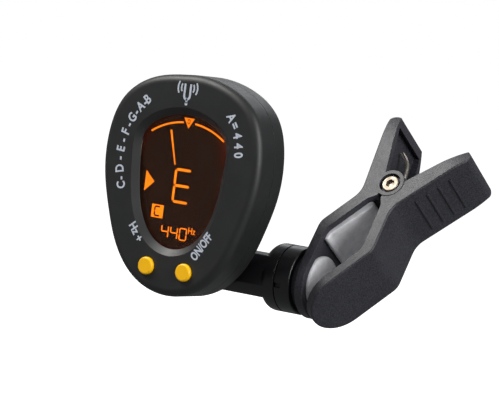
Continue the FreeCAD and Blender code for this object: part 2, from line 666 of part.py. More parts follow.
def front_jaw():
    body = jaw_blank().cut(tray())
    swing = PIVOT_BOSS_RADIUS + LUG_CLEARANCE
    for low, high in ((WALL_INSIDE - 0.15, 20), (-20, -WALL_INSIDE + 0.15)):
        body = body.cut(width_cylinder(swing, low, high))
    outside = WALL_INSIDE - LUG_CLEARANCE
    inside = outside - LUG_THICKNESS
    web = [(0, 3.4), (8.4, 3.4), (4.7, -5.4), (5.8, -8.5), (0, -3.4)]
    lugs = both_sides(web, [0] * 5, inside, outside)
    eyes = width_cylinder(LUG_RADIUS, inside, outside).fuse(width_cylinder(LUG_RADIUS, -outside, -inside))
    body = fuse([body, lugs, eyes] + grip_ribs())
    return body.cut(width_cylinder(PIVOT_SLEEVE_RADIUS + PIN_CLEARANCE, -20, 20))


def rear_jaw():
    """The rear jaw carries the pivot bosses and the neck of the barrel. Made in the front's place."""
    body = jaw_blank().cut(tray())
    bosses = width_cylinder(PIVOT_BOSS_RADIUS, WALL_INSIDE, HALF_WIDTH).fuse(
        width_cylinder(PIVOT_BOSS_RADIUS, -HALF_WIDTH, -WALL_INSIDE))
    neck = Part.makeCylinder(NECK_RADIUS, NECK_LENGTH + 1, TIP_CENTRE - TIP_OUTWARD, TIP_OUTWARD)
    body = fuse([body, bosses, neck] + grip_ribs())
    body = body.cut(Part.makeCylinder(3.9, 10, TIP_CENTRE - TIP_OUTWARD * 5, TIP_OUTWARD))
    body = body.cut(width_cylinder(PIVOT_SLEEVE_RADIUS, -20, 20))
    recess = HALF_WIDTH - 1.15
    body = body.cut(width_cylinder(PIVOT_COUNTERBORE, recess, 20))
    return body.cut(width_cylinder(PIVOT_COUNTERBORE, -20, -recess))


def mid_pad(top=(1.5, -7.6)):
    """Pad on the middle section of a jaw, on the tray floor, up to a point of its face."""
    floor = PLATE_SHIFT + 0.02
    low = (RIM_BEND_POINT[0] - PAD_PROUD - 0.2, -18.3)
    shape = [(outer_across(top[1]) - floor, top[1]), (outer_across(-17.2) - floor - 0.15, -17.2),
             (outer_across(-20.2) - floor - 0.1, -20.2), (low[0] - 0.35, -20.2), low, top]
    half = WALL_INSIDE - PAD_GAP
    pad = prism(shape, [0, 1.5, 0, 0.6, 1.0, 0.8], -half, half)
    return pad


def tip_pad():
    """Round pad on the tip, about the barrel axis."""
    start = TIP_THICKNESS + PAD_PROUD
    thickness = start - PLATE_SHIFT * math.cos(TOE) - 0.05
    radius = WALL_INSIDE - PAD_GAP
    pad = Part.makeCylinder(radius, thickness, TIP_CENTRE - TIP_OUTWARD * start, TIP_OUTWARD)
    centre = TIP_CENTRE - TIP_OUTWARD * start
    face = [e for e in pad.Edges if e.Curve.TypeId == "Part::GeomCircle"
            and (e.Curve.Center - centre).Length < 1e-3]
    return pad.makeFillet(0.8, face)


def pivot_sleeve():
    """Sleeve nut: the jaws turn on it."""
    floor = HALF_WIDTH - 1.15
    tube = width_cylinder(PIVOT_SLEEVE_RADIUS, -floor, floor - 0.1)
    head = width_cylinder(PIVOT_HEAD_RADIUS + 0.2, -floor - 0.9, -floor)
    return tube.fuse(head).cut(width_cylinder(PIVOT_SCREW_RADIUS, -4, 20)).removeSplitter()


def pivot_screw():
    floor = HALF_WIDTH - 1.15
    head = width_cylinder(PIVOT_HEAD_RADIUS, floor, floor + 0.95)
    head = head.makeFillet(0.3, [e for e in head.Edges if e.BoundBox.ZMin > floor + 0.9])
    shank = width_cylinder(PIVOT_SCREW_RADIUS, -3.5, floor)
    corner = V(PIVOT_SOCKET_RADIUS, 0, floor + 0.1)
    hexagon = [FreeCAD.Rotation(V(0, 0, 1), angle).multVec(corner) for angle in range(0, 361, 60)]
    socket = Part.Face(Part.makePolygon(hexagon)).extrude(V(0, 0, 2))
    return head.fuse(shank).cut(socket)


def wire_run(points, radius):
    """Round wire bent at each point."""
    pieces = []
    for start, end in zip(points, points[1:]):
        run = end - start
        pieces.append(Part.makeCylinder(radius, run.Length, start, run))
    pieces += [Part.makeSphere(radius, point) for point in points[1:-1]]
    return fuse(pieces)


def spring_half(low, high, leg_at):
    """Half of the torsion spring's coil, with its leg bent down to the handle's floor."""
    radius = SPRING_WIRE / 2
    coil = width_cylinder(SPRING_COIL_RADIUS + radius, low, high)
    coil = coil.cut(width_cylinder(SPRING_COIL_RADIUS - radius, low - 1, high + 1))
    leg = [V(a, b, leg_at) for a, b in SPRING_LEG]
    return fuse([coil, wire_run(leg, radius)])


# ---- write the pieces --------------------------------------------------------------------

HEAD_PIECES = [front_shell, rear_shell, battery_cover, display_lens, display_panel, display_frame,
               backlight_diffuser, backlight_leds, contact_strip, circuit_board, controller_chip,
               tact_switches, piezo_pickup, coin_cell, battery_contact_minus, battery_contact_plus,
               case_screws, board_screws]
BARREL_PIECES = [arm, hinge_pin, hinge_washers, swivel_disc, friction_washer, wave_washer, barrel_screw]

for make in HEAD_PIECES:
    save(make.__name__, head_piece(make()))
save("pitch_button", head_piece(button(-1)))
save("mode_button", head_piece(button(1)))
for make in BARREL_PIECES:
    save(make.__name__, make())

save("front_jaw", front_side(front_jaw()))
save("front_mid_pad", front_side(mid_pad()))
save("front_tip_pad", front_side(tip_pad()))
save("torsion_spring_front", front_side(spring_half(-SPRING_HALF_LENGTH, -0.03, -0.5)))
save("rear_jaw", rear_side(rear_jaw()))
save("rear_mid_pad", rear_side(mid_pad(top=REAR_PAD_TOP)))
save("rear_tip_pad", rear_side(tip_pad()))
save("torsion_spring_rear", rear_side(spring_half(0.03, SPRING_HALF_LENGTH, 0.5)))
save("pivot_sleeve", front_side(pivot_sleeve()))
save("pivot_screw", front_side(pivot_screw()))

print("pivot", PIVOT, "pivot axis", AXIS_WIDE, "head origin", HEAD_ORIGIN, "seam x", SEAM_X)
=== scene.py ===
"""Clip on tuner: the looks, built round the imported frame. Everything is in metres."""
import json
import math

import bmesh
import bpy
from bpy.props import FloatProperty, FloatVectorProperty, IntProperty, PointerProperty
from mathutils import Matrix, Vector


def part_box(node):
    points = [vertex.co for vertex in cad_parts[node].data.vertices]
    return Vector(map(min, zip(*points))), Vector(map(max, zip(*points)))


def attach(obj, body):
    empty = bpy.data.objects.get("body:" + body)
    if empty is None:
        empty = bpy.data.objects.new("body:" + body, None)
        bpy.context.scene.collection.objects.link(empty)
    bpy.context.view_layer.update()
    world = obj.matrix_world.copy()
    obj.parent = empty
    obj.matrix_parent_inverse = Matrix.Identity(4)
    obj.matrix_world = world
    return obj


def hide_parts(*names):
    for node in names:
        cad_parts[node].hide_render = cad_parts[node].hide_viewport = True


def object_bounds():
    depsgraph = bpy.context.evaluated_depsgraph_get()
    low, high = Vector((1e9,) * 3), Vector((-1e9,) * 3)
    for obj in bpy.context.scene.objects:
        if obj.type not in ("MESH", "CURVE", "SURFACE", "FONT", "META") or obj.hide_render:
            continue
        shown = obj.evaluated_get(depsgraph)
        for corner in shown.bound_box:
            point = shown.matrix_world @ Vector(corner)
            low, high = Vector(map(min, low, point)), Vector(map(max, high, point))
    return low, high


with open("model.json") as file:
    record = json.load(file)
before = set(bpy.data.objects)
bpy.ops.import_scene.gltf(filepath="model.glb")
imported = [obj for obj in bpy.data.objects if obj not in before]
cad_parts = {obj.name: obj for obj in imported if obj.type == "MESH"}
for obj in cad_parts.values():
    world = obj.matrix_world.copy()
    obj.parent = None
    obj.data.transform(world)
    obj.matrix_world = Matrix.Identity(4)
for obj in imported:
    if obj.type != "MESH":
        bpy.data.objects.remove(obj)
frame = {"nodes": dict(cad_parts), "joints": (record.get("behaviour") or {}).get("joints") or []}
CAD_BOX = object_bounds()

bl_info = {
    "name": "Clip on tuner looks",
    "version": (1, 0, 0),
    "blender": (4, 5, 0),
    "location": "View3D > Sidebar > Tuner",
    "description": "Printed face, lit display, spring, pads and finishes of a clip on tuner",
    "category": "Object",
}

MM = 0.001
MATERIALS = {}               # the finishes by name, once they are made


def linear(hex_code, alpha=1.0):
    """An sRGB hex value as a linear colour."""
    channels = [int(hex_code[i:i + 2], 16) / 255 for i in (1, 3, 5)]
    return [c / 12.92 if c <= 0.04045 else ((c + 0.055) / 1.055) ** 2.4 for c in channels] + [alpha]


def colour(label, words, hex_code):
    return FloatVectorProperty(name=label, description=words, subtype="COLOR", size=4,
                               min=0, max=1, default=linear(hex_code))


def length(label, words, millimetres):
    return FloatProperty(name=label, description=words, unit="LENGTH", default=millimetres * MM)


# ---- places that the frame gives --------------------------

SHELL_LOW, SHELL_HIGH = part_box("front_shell")
HEAD_TOP_ABOVE_MIDDLE = 27.6 * MM
HEAD_MIDDLE = Vector(((SHELL_LOW.x + SHELL_HIGH.x) / 2, SHELL_LOW.y,
                      SHELL_HIGH.z - HEAD_TOP_ABOVE_MIDDLE))
# behind the face in millimetres, as on_face takes it
PANEL_FRONT = (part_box("display_panel")[0].y - HEAD_MIDDLE.y) / MM
COVER_LOW, COVER_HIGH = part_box("battery_cover")
COVER_MIDDLE = (COVER_LOW + COVER_HIGH) / 2
COVER_BACK = COVER_HIGH.y
CELL_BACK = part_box("coin_cell")[1].y
BOARD_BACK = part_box("circuit_board")[1].y
JAW_JOINT = next(j for j in frame["joints"] if j["name"] == "jaw_pivot")
PIVOT = Vector(JAW_JOINT["pos_m"])
WIDE = Vector(JAW_JOINT["axis"]).normalized()
TOE = math.radians(17.5)     # the jaws lean from upright by this
UP = Vector((1, 0, 0)).cross(WIDE)
UP = UP if UP.z > 0 else -UP
ALONG = UP * math.cos(TOE) + Vector((math.sin(TOE), 0, 0))
ACROSS = Vector((math.cos(TOE), 0, 0)) - UP * math.sin(TOE)


def on_face(x, z, depth=0.0):
    """A point of the head, from the middle of its face, in millimetres."""
    return HEAD_MIDDLE + Vector((x, depth, z)) * MM


def in_clip(across, along, wide):
    """A point of the clip, from the pivot, in millimetres."""
    return PIVOT + (ACROSS * across + ALONG * along + WIDE * wide) * MM


# ---- settings that a user would change --------------------

class HeadSettings(bpy.types.PropertyGroup):
    shell: colour("Shell", "Satin black plastic of the head", "#1B1C1C")
    ink: colour("Ink", "Printed marks on the face", "#C9D0DC")
    buttons: colour("Buttons", "Satin yellow plastic", "#FFC000")
    letter_height: length("Letter height", "Height of the note letters", 2.35)
    label_height: length("Label height", "Height of the button labels", 2.1)
    print_thickness: length("Print thickness", "How far the ink stands on the face", 0.03)


class DisplaySettings(bpy.types.PropertyGroup):
    glass: colour("Glass", "Dark background of the display", "#1D110A")
    glow: colour("Backlight", "Reddish glow near the display's edges", "#4A1A0A")
    lit: colour("Lit segments", "Colour of the lit segments", "#FF8A12")
    strength: FloatProperty(name="Brightness", description="Strength of the lit segments",
                            default=0.95, min=0)
    gauge_radius: length("Gauge radius", "Radius of the gauge line", 19.8)
    needles: IntProperty(name="Needles", description="Unlit needle segments", default=15, min=3)


class ClipSettings(bpy.types.PropertyGroup):
    plastic: colour("Jaws", "Fine textured black plastic of the jaws", "#27272D")
    rubber: colour("Pads", "Satin grey rubber of the pads", "#D6D6D9")
    barrel: colour("Barrel", "Polished black plastic of the arm and the discs", "#0C0C0F")
    wire: length("Wire", "Diameter of the spring wire", 1.0)
    coil_radius: length("Coil radius", "Radius of the spring's coil", 2.6)
    coil_turns: IntProperty(name="Turns", description="Turns in each half of the spring",
                            default=4, min=1)


class StageSettings(bpy.types.PropertyGroup):
    floor: colour("Floor", "Pale floor", "#F4F4F4")
    drop: length("Drop", "Floor below the object", 95.0)
    distance: length("Camera distance", "From the camera to the middle of the face", 600.0)
    azimuth: FloatProperty(name="Azimuth", description="Camera round to the right",
                           subtype="ANGLE", default=math.radians(35.07))
    elevation: FloatProperty(name="Elevation", description="Camera above the horizon",
                             subtype="ANGLE", default=math.radians(3.39))
    roll: FloatProperty(name="Roll", description="Camera turned about its view",
                        subtype="ANGLE", default=math.radians(7.21))


GROUPS = {"tuner_head": HeadSettings, "tuner_display": DisplaySettings,
          "tuner_clip": ClipSettings, "tuner_stage": StageSettings}


# ---- node and mesh helpers --------------------------------

def put(tree, kind, inputs=None, **settings):
    """Adds a node, sets it, and feeds its inputs with values or with other nodes' sockets."""
    made = tree.nodes.new(kind)
    for name, value in settings.items():
        setattr(made, name, value)
    for key, value in (inputs or {}).items():
        if isinstance(value, bpy.types.NodeSocket):
            tree.links.new(value, made.inputs[key])
        else:
            made.inputs[key].default_value = value
    return made


def maths(tree, operation, *values):
    """The result of a maths node."""
    return put(tree, "ShaderNodeMath", dict(enumerate(values)), operation=operation).outputs[0]


def toned(tree, base, share):
    """A colour made lighter or darker by a share."""
    return put(tree, "ShaderNodeVectorMath", {0: base[:3], "Scale": share},
               operation="SCALE").outputs[0]


def in_scene(name, data):
    """A new object of some data, linked to the scene."""
    made = bpy.data.objects.new(name, data)
    bpy.context.scene.collection.objects.link(made)
    return made


def link_piece(name, mesh, body, finish, smooth=True):
    """Makes a finished piece of a mesh that is already in place."""
    for polygon in mesh.polygons:
        polygon.use_smooth = smooth
    piece = in_scene(name, mesh)
    mesh.materials.clear()
    mesh.materials.append(MATERIALS[finish])
    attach(piece, body)
    return piece


def solid_from_outlines(name, outlines, near, far, place):
    """Closed flat-sided solids, one for each outline of (a, b) points, from depth near to far."""
    shape = bmesh.new()
    for outline in outlines:
        front = [shape.verts.new(place(a, b, near)) for a, b in outline]
        back = [shape.verts.new(place(a, b, far)) for a, b in outline]
        shape.faces.new(front)
        shape.faces.new(back[::-1])
        for i in range(len(outline)):
            j = (i + 1) % len(outline)
            shape.faces.new([front[j], front[i], back[i], back[j]])
    bmesh.ops.recalc_face_normals(shape, faces=shape.faces)
    mesh = bpy.data.meshes.new(name)
    shape.to_mesh(mesh)
    shape.free()
    return mesh


def joined(name, meshes):
    """One mesh from several."""
    shape = bmesh.new()
    for mesh in meshes:
        shape.from_mesh(mesh)
        bpy.data.meshes.remove(mesh)
    result = bpy.data.meshes.new(name)
    shape.to_mesh(result)
    shape.free()
    return result


CAP_SHARE = 0.682            # height of a capital over the font's size


def letters(text, height, width, weight, thickness):
    """A closed mesh of a word about the origin, in the XY plane, facing +Z."""
    curve = bpy.data.curves.new("letters", "FONT")
    curve.body = text
    curve.size = height / CAP_SHARE
    curve.align_x = "CENTER"
    curve.offset = weight
    curve.extrude = thickness
    curve.resolution_u = 4
    holder = in_scene("letters", curve)
    bpy.context.view_layer.update()
    mesh = bpy.data.meshes.new_from_object(holder)
    bpy.data.objects.remove(holder)
    bpy.data.curves.remove(curve)
    mesh.transform(Matrix.Diagonal((width, 1, 1, 1)))
    return mesh


def print_at(mesh, x, z, turn=0.0, depth=0.0):
    """Stands a flat mesh on the face, its +Y turned anticlockwise by turn from the head's up."""
    stand = Matrix(((1, 0, 0, 0), (0, 0, -1, 0), (0, 1, 0, 0), (0, 0, 0, 1)))
    mesh.transform(Matrix.Translation(on_face(x, z, depth)) @ stand
                   @ Matrix.Rotation(turn, 4, "Z"))
    return mesh


def tree_group(name, inputs):
    """A geometry tree with a geometry input and output and the named inputs after it."""
    tree = bpy.data.node_groups.new(name, "GeometryNodeTree")
    tree.interface.new_socket("Geometry", in_out="INPUT", socket_type="NodeSocketGeometry")
    for label, kind in inputs:
        tree.interface.new_socket(label, in_out="INPUT", socket_type=kind)
    tree.interface.new_socket("Geometry", in_out="OUTPUT", socket_type="NodeSocketGeometry")
    return tree, put(tree, "NodeGroupInput").outputs


def close_tree(tree, geometry, finish):
    """Ends a geometry tree in real geometry with its material."""
    real = put(tree, "GeometryNodeRealizeInstances", {"Geometry": geometry})
    painted = put(tree, "GeometryNodeSetMaterial", {"Geometry": real.outputs[0],
                                                    "Material": MATERIALS[finish]})
    put(tree, "NodeGroupOutput", {"Geometry": painted.outputs[0]})


def run_tree(tree, holder, values):
    """The plain mesh that a geometry tree makes on an object, which is then removed."""
    modifier = holder.modifiers.new("tree", "NODES")
    modifier.node_group = tree
    for item in tree.interface.items_tree:
        if item.in_out == "INPUT" and item.name in values:
            modifier[item.identifier] = values[item.name]
    graph = bpy.context.evaluated_depsgraph_get()
    mesh = bpy.data.meshes.new_from_object(holder.evaluated_get(graph))
    holder.modifiers.remove(modifier)
    bpy.data.objects.remove(holder)
    return mesh


# ---- materials --------------------------------------------

def new_material(name):
    material = bpy.data.materials.new(name)
    material.use_nodes = True
    material.node_tree.nodes.clear()
    return material, material.node_tree


def end_material(material, inputs):
    """Ends a material in one principled shader, and gives the material back."""
    shader = put(material.node_tree, "ShaderNodeBsdfPrincipled", inputs)
    put(material.node_tree, "ShaderNodeOutputMaterial", {"Surface": shader.outputs[0]})
    return material


def object_noise(tree, size_mm, detail=2.0, roughness=0.5, stretch=(1, 1, 1)):
    """Noise whose patches are about size_mm across, on the object's own coordinates."""
    place = put(tree, "ShaderNodeTexCoord")
    turned = put(tree, "ShaderNodeMapping", {"Vector": place.outputs["Object"], "Scale": stretch})
    noise = put(tree, "ShaderNodeTexNoise", {
        "Vector": turned.outputs[0], "Scale": 1 / (size_mm * MM), "Detail": detail,
        "Roughness": roughness})
    return noise.outputs["Fac"]


def spread(tree, value, low, high, at=(0.3, 0.7)):
    """Maps a value between two limits, softly."""
    return put(tree, "ShaderNodeMapRange", {"Value": value, "From Min": at[0], "From Max": at[1],
                                            "To Min": low, "To Max": high},
               interpolation_type="SMOOTHSTEP").outputs[0]


def edge_amount(tree, radius_mm):
    """0 on the flats, 1 on outside corners sharper than the radius."""
    soft = put(tree, "ShaderNodeBevel", {"Radius": radius_mm * MM}, samples=4)
    true = put(tree, "ShaderNodeNewGeometry")
    match = put(tree, "ShaderNodeVectorMath", {0: soft.outputs[0], 1: true.outputs["Normal"]},
                operation="DOT_PRODUCT")
    return spread(tree, match.outputs["Value"], 1, 0, at=(0.72, 0.985))


def moulded(name, base, roughness, grain_mm, grain_height_mm, patch=0.12, wear_and_highlight=0.35, speckle=0.0,
            rounding_mm=0.12):
    """Moulded plastic: grain from the tool, slow drift of tone, and along the edges handling polish
    that lowers the roughness and lightens the colour, the lighter colour being partly wear and
    partly a painted highlight.
    """
    material, tree = new_material(name)
    drift = object_noise(tree, 9.0, 3.0)
    grain = object_noise(tree, grain_mm, 2.0, 0.6)
    shade = maths(tree, "MULTIPLY", spread(tree, drift, 1 - patch, 1 + patch),
                  spread(tree, grain, 1 - speckle, 1 + 1.6 * speckle))
    smears = spread(tree, object_noise(tree, 1.7, 4.0), 0.2, 1.0)
    # edge mask, broken by smears: where handling wear and a painted edge highlight go
    edge_wear_and_highlight = maths(tree, "MULTIPLY", edge_amount(tree, 0.35), smears)
    wear_and_highlight_amount = maths(tree, "MULTIPLY", edge_wear_and_highlight, wear_and_highlight)
    # lighter colour on the edges: partly real handling wear, partly a painted highlight standing
    # for glints on the rounded edges
    light = [min(1.0, c * 2.1 + 0.012) for c in base[:3]] + [1]
    rubbed_and_highlit = put(tree, "ShaderNodeMix", {"Factor": wear_and_highlight_amount, "A": toned(tree, base, shade),
                                         "B": light}, data_type="RGBA")
    gloss = spread(tree, object_noise(tree, 3.2, 5.0, 0.6), roughness * 0.96,
                   min(1, roughness * 1.05))
    sheen = put(tree, "ShaderNodeMix", {"Factor": wear_and_highlight_amount, "A": gloss, "B": roughness * 0.7})
    soft = put(tree, "ShaderNodeBevel", {"Radius": rounding_mm * MM}, samples=4)
    bump = put(tree, "ShaderNodeBump", {"Height": grain, "Distance": grain_height_mm * MM,
                                        "Strength": 1.0, "Normal": soft.outputs[0]})
    return end_material(material, {
        "Base Color": rubbed_and_highlit.outputs["Result"], "Roughness": sheen.outputs["Result"],
        "IOR": 1.53, "Normal": bump.outputs[0]})


def plated(name, base, roughness, brushed_mm=0.15, scratch=0.3):
    """Plated or brushed metal: fine lines and small scratches that break up the reflection."""
    material, tree = new_material(name)
    lines = object_noise(tree, brushed_mm, 2.0, 0.5, stretch=(1, 1, 9))
    smudge = object_noise(tree, 1.4, 4.0, 0.65)
    rough = spread(tree, smudge, roughness * 0.75, roughness * 1.35)
    bump = put(tree, "ShaderNodeBump", {"Height": lines, "Distance": 0.004 * MM,
                                        "Strength": scratch})
    return end_material(material, {
        "Base Color": toned(tree, base, spread(tree, smudge, 0.93, 1.03)), "Metallic": 1.0,
        "Roughness": rough, "Normal": bump.outputs[0]})


def satin_rubber(name, base):
    """Moulded rubber: dull with a soft sheen at grazing angles, and dusty in random patches."""
    material, tree = new_material(name)
    dust = object_noise(tree, 2.4, 5.0, 0.7)
    grain = object_noise(tree, 0.16, 3.0, 0.6)
    soft = put(tree, "ShaderNodeBevel", {"Radius": 0.3 * MM}, samples=4)
    bump = put(tree, "ShaderNodeBump", {"Height": grain, "Distance": 0.012 * MM, "Strength": 0.8,
                                        "Normal": soft.outputs[0]})
    return end_material(material, {
        "Base Color": toned(tree, base, spread(tree, dust, 0.86, 1.1)),
        "Roughness": spread(tree, dust, 0.42, 0.56), "IOR": 1.52,
        "Sheen Weight": 0.15, "Sheen Roughness": 0.5, "Normal": bump.outputs[0]})


def clear_acrylic(name):
    """Cast acrylic window, slightly smoked, with a hint of polish swirl."""
    material, tree = new_material(name)
    swirl = object_noise(tree, 4.0, 3.0)
    # the low IOR keeps the window from mirroring the softboxes
    return end_material(material, {
        "Base Color": linear("#E9DAD2"), "Roughness": spread(tree, swirl, 0.015, 0.04),
        "IOR": 1.13, "Transmission Weight": 1.0})


GLOW_MIDDLE = (-1.0, 1.5)                       # of the display, on the face in millimetres
GLOW_HALF_X, GLOW_HALF_Z = 13.5 * MM, 18.5 * MM


def display_glass(name, dark, glow):
    """Negative display glass: dark brown, with the backlight leaking red near its edges."""
    material, tree = new_material(name)
    place = put(tree, "ShaderNodeTexCoord")
    middle = on_face(*GLOW_MIDDLE)
    centred = put(tree, "ShaderNodeMapping", {
        "Vector": place.outputs["Object"],
        "Location": [-middle.x / GLOW_HALF_X, 0, -middle.z / GLOW_HALF_Z],
        "Scale": (1 / GLOW_HALF_X, 0, 1 / GLOW_HALF_Z)})
    reach = put(tree, "ShaderNodeVectorMath", {0: centred.outputs[0]}, operation="LENGTH")
    leak = maths(tree, "MULTIPLY", spread(tree, reach.outputs["Value"], 0, 1, at=(0.8, 1.3)),
                 spread(tree, object_noise(tree, 5.0, 2.0), 0.6, 1.0))
    tone = put(tree, "ShaderNodeMix", {"Factor": leak, "A": dark, "B": glow}, data_type="RGBA")
    result = tone.outputs["Result"]
    return end_material(material, {
        "Base Color": result, "Roughness": 0.3, "IOR": 1.5, "Specular IOR Level": 0.03,
        "Emission Color": result, "Emission Strength": 0.75})


def lit_segment(name, base, strength):
    """Open segments of the display with the amber backlight behind them."""
    material, tree = new_material(name)
    warm = toned(tree, base, spread(tree, object_noise(tree, 3.0, 2.0), 0.9, 1.06))
    return end_material(material, {
        "Base Color": warm, "Roughness": 0.4, "Specular IOR Level": 0.03,
        "Emission Color": warm, "Emission Strength": strength})


def printed_ink(name, base):
    """Pad printed ink: a dull film, a little thin in places."""
    material, tree = new_material(name)
    thin = object_noise(tree, 0.35, 3.0, 0.6)
    bump = put(tree, "ShaderNodeBump", {"Height": thin, "Distance": 0.006 * MM, "Strength": 0.6})
    return end_material(material, {
        "Base Color": toned(tree, base, spread(tree, thin, 0.82, 1.03)), "Roughness": 0.55,
        "IOR": 1.48, "Normal": bump.outputs[0]})


def circuit_laminate(name):
    """Green solder mask over copper tracks, seen as slightly lighter lines."""
    material, tree = new_material(name)
    place = put(tree, "ShaderNodeTexCoord")
    upright = put(tree, "ShaderNodeMapping", {"Vector": place.outputs["Object"],
                                              "Rotation": (math.pi / 2, 0, 0)})
    tracks = put(tree, "ShaderNodeTexBrick", {
        "Vector": upright.outputs[0], "Color1": linear("#12552B"), "Color2": linear("#0F4A26"),
        "Mortar": linear("#2C7B45"), "Scale": 1.0, "Mortar Size": 0.18 * MM,
        "Brick Width": 3.4 * MM, "Row Height": 0.9 * MM})
    return end_material(material, {
        "Base Color": tracks.outputs["Color"], "Roughness": 0.32, "IOR": 1.5, "Coat Weight": 0.3})


def make_materials():
    """Every finish, named for the real material."""
    scene = bpy.context.scene
    head, display, clip = scene.tuner_head, scene.tuner_display, scene.tuner_clip
    shell, jaws = list(head.shell), list(clip.plastic)
    MATERIALS.update({
        # satin ABS with a fine spark grain: soft reflections that fade into the shell
        "head": moulded("ABS, black, satin moulded", shell, 0.5, 0.22, 0.006),
        # rougher spark grain that sparkles a little under side light
        "jaws": moulded("ABS, black, spark textured", jaws, 0.47, 0.3, 0.08, patch=0.08,
                        wear_and_highlight=0.4, speckle=0.6),
        # polished tool: clear sharp highlights on the discs
        "barrel": moulded("Nylon, black, polished", list(clip.barrel), 0.33, 0.5, 0.003),
        "buttons": moulded("Polypropylene, yellow, satin", list(head.buttons), 0.38, 0.18, 0.006,
                           patch=0.05, wear_and_highlight=0.15),
        "white": moulded("ABS, white, moulded", linear("#DAD9D2"), 0.5, 0.3, 0.004, patch=0.03,
                         wear_and_highlight=0),
        "milky": moulded("Acrylic, milky, moulded", linear("#E9E4D6"), 0.35, 0.5, 0.002,
                         patch=0.02, wear_and_highlight=0),
        "amber": moulded("Epoxy, amber, cast", linear("#E8A33A"), 0.15, 0.6, 0.001, wear_and_highlight=0),
        "strip": moulded("Silicone, slate, layered", linear("#5B6C7A"), 0.6, 0.1, 0.01, wear_and_highlight=0),
        "black_part": moulded("Epoxy, black, moulded", linear("#161617"), 0.55, 0.12, 0.008,
                              wear_and_highlight=0),
        "natural": moulded("Acetal, natural, moulded", linear("#D8D2C2"), 0.4, 0.3, 0.003,
                           wear_and_highlight=0),
        "rubber": satin_rubber("Rubber, grey, satin moulded", list(clip.rubber)),
        "lens": clear_acrylic("Acrylic, clear, cast"),
        "glass": display_glass("Display glass, dark brown", list(display.glass),
                               list(display.glow)),
        "lit": lit_segment("Display segments, lit amber", list(display.lit), display.strength),
        "unlit": lit_segment("Display segments, unlit", linear("#1F130B"), 0.5),
        "ink": printed_ink("Ink, pale grey, pad printed", list(head.ink)),
        "nickel": plated("Steel, nickel plated", linear("#968C7E"), 0.46),
        "spring": plated("Spring steel, nickel plated", linear("#D8CFC2"), 0.24),
        "zinc": plated("Steel, zinc plated", linear("#B9BCC2"), 0.34),
        "black_zinc": plated("Steel, black zinc plated", linear("#2A2A2C"), 0.36),
        "brass": plated("Brass, rolled", linear("#C9A24E"), 0.28),
        "cell": plated("Stainless steel, brushed", linear("#C3C4C6"), 0.34, 0.12, 0.15),
        "board": circuit_laminate("Glass fibre board, green mask"),
    })


FINISHED_NODES = {
    "head": ["front_shell", "rear_shell", "battery_cover"],
    "lens": ["display_lens"], "glass": ["display_panel"], "white": ["display_frame"],
    "milky": ["backlight_diffuser"], "amber": ["backlight_leds"], "strip": ["contact_strip"],
    "board": ["circuit_board"], "black_part": ["controller_chip", "tact_switches"],
    "brass": ["piezo_pickup"], "cell": ["coin_cell"], "black_zinc": ["case_screws"],
    "nickel": ["battery_contact_minus", "battery_contact_plus", "hinge_pin", "wave_washer",
               "pivot_sleeve", "pivot_screw"],
    "zinc": ["board_screws", "barrel_screw"], "buttons": ["pitch_button", "mode_button"],
    "barrel": ["arm", "swivel_disc"], "natural": ["hinge_washers", "friction_washer"],
    "jaws": ["front_jaw", "rear_jaw"],
    "rubber": ["front_mid_pad", "front_tip_pad", "rear_mid_pad", "rear_tip_pad"],
    "spring": ["torsion_spring_front", "torsion_spring_rear"],
}


class TUNER_OT_finishes(bpy.types.Operator):
    """Gives every part of the frame its finish"""
    bl_idname = "tuner.finishes"
    bl_label = "Finishes"

    def execute(self, context):
        make_materials()
        for finish, node_names in FINISHED_NODES.items():
            for node_name in node_names:
                part = frame["nodes"][node_name]
                if not part.material_slots:
                    raise RuntimeError(f"{node_name} has no material slot")
                for material_slot in part.material_slots:
                    material_slot.material = MATERIALS[finish]
        return {"FINISHED"}


# ---- outlines ---------------------------------------------

def point_on(path, share):
    """Point and direction at a share of a smooth path through points."""
    spans = len(path) - 1
    at = min(share * spans, spans - 1e-6)
    i = int(at)
    t = at - i
    before, start = Vector(path[max(i - 1, 0)]), Vector(path[i])
    end, after = Vector(path[i + 1]), Vector(path[min(i + 2, spans)])
    linear_part = end - before
    square_part = 2 * before - 5 * start + 4 * end - after
    cube_part = 3 * start - before - 3 * end + after
    point = 0.5 * ((2 * start) + linear_part * t + square_part * t * t + cube_part * t ** 3)
    slope = 0.5 * (linear_part + 2 * square_part * t + 3 * cube_part * t * t)
    return point, slope.normalized()


def disc_outline(x, z, radius, count=24):
    angles = [2 * math.pi * i / count for i in range(count)]
    return [(x + radius * math.cos(a), z + radius * math.sin(a)) for a in angles]


def arc_outline(radius, first, last, width, centre_z, count=28):
    """Part of a ring, its angles measured from straight up."""
    angles = [first + (last - first) * i / count for i in range(count + 1)]
    rims = [(radius + width / 2, angles), (radius - width / 2, angles[::-1])]
    return [(r * math.sin(a), centre_z + r * math.cos(a)) for r, rim in rims for a in rim]


def stroke_outline(points, width):
    """A line of constant width through points, as one closed outline."""
    left, right = [], []
    for i, point in enumerate(points):
        before = Vector(points[max(i - 1, 0)])
        after = Vector(points[min(i + 1, len(points) - 1)])
        run = (after - before).normalized()
        side = Vector((-run.y, run.x)) * width / 2
        left.append(tuple(Vector(point) + side))
        right.append(tuple(Vector(point) - side))
    return left + right[::-1]


def plus_outline(size, width):
    """A plus sign about the origin, as one cross."""
    a, b = size / 2, width / 2
    return [(-b, -a), (b, -a), (b, -b), (a, -b), (a, b), (b, b), (b, a), (-b, a), (-b, b),
            (-a, b), (-a, -b), (-b, -b)]


# ---- printed face -----------------------------------------

BOLD = 0.09 * MM             # the ink spreads the letters by this
# (x, z) on the face of the arcs that the letters' feet stand on, up the left and down the right
NOTE_ARC = [(-15.5, -1.8), (-16.9, 4.6), (-16.1, 11.0), (-13.8, 16.0), (-10.9, 19.3)]
REFERENCE_ARC = [(12.9, 17.9), (14.6, 15.4), (15.6, 12.6), (16.1, 9.6)]
LETTER_WIDTH = 0.8           # share of the font's own width
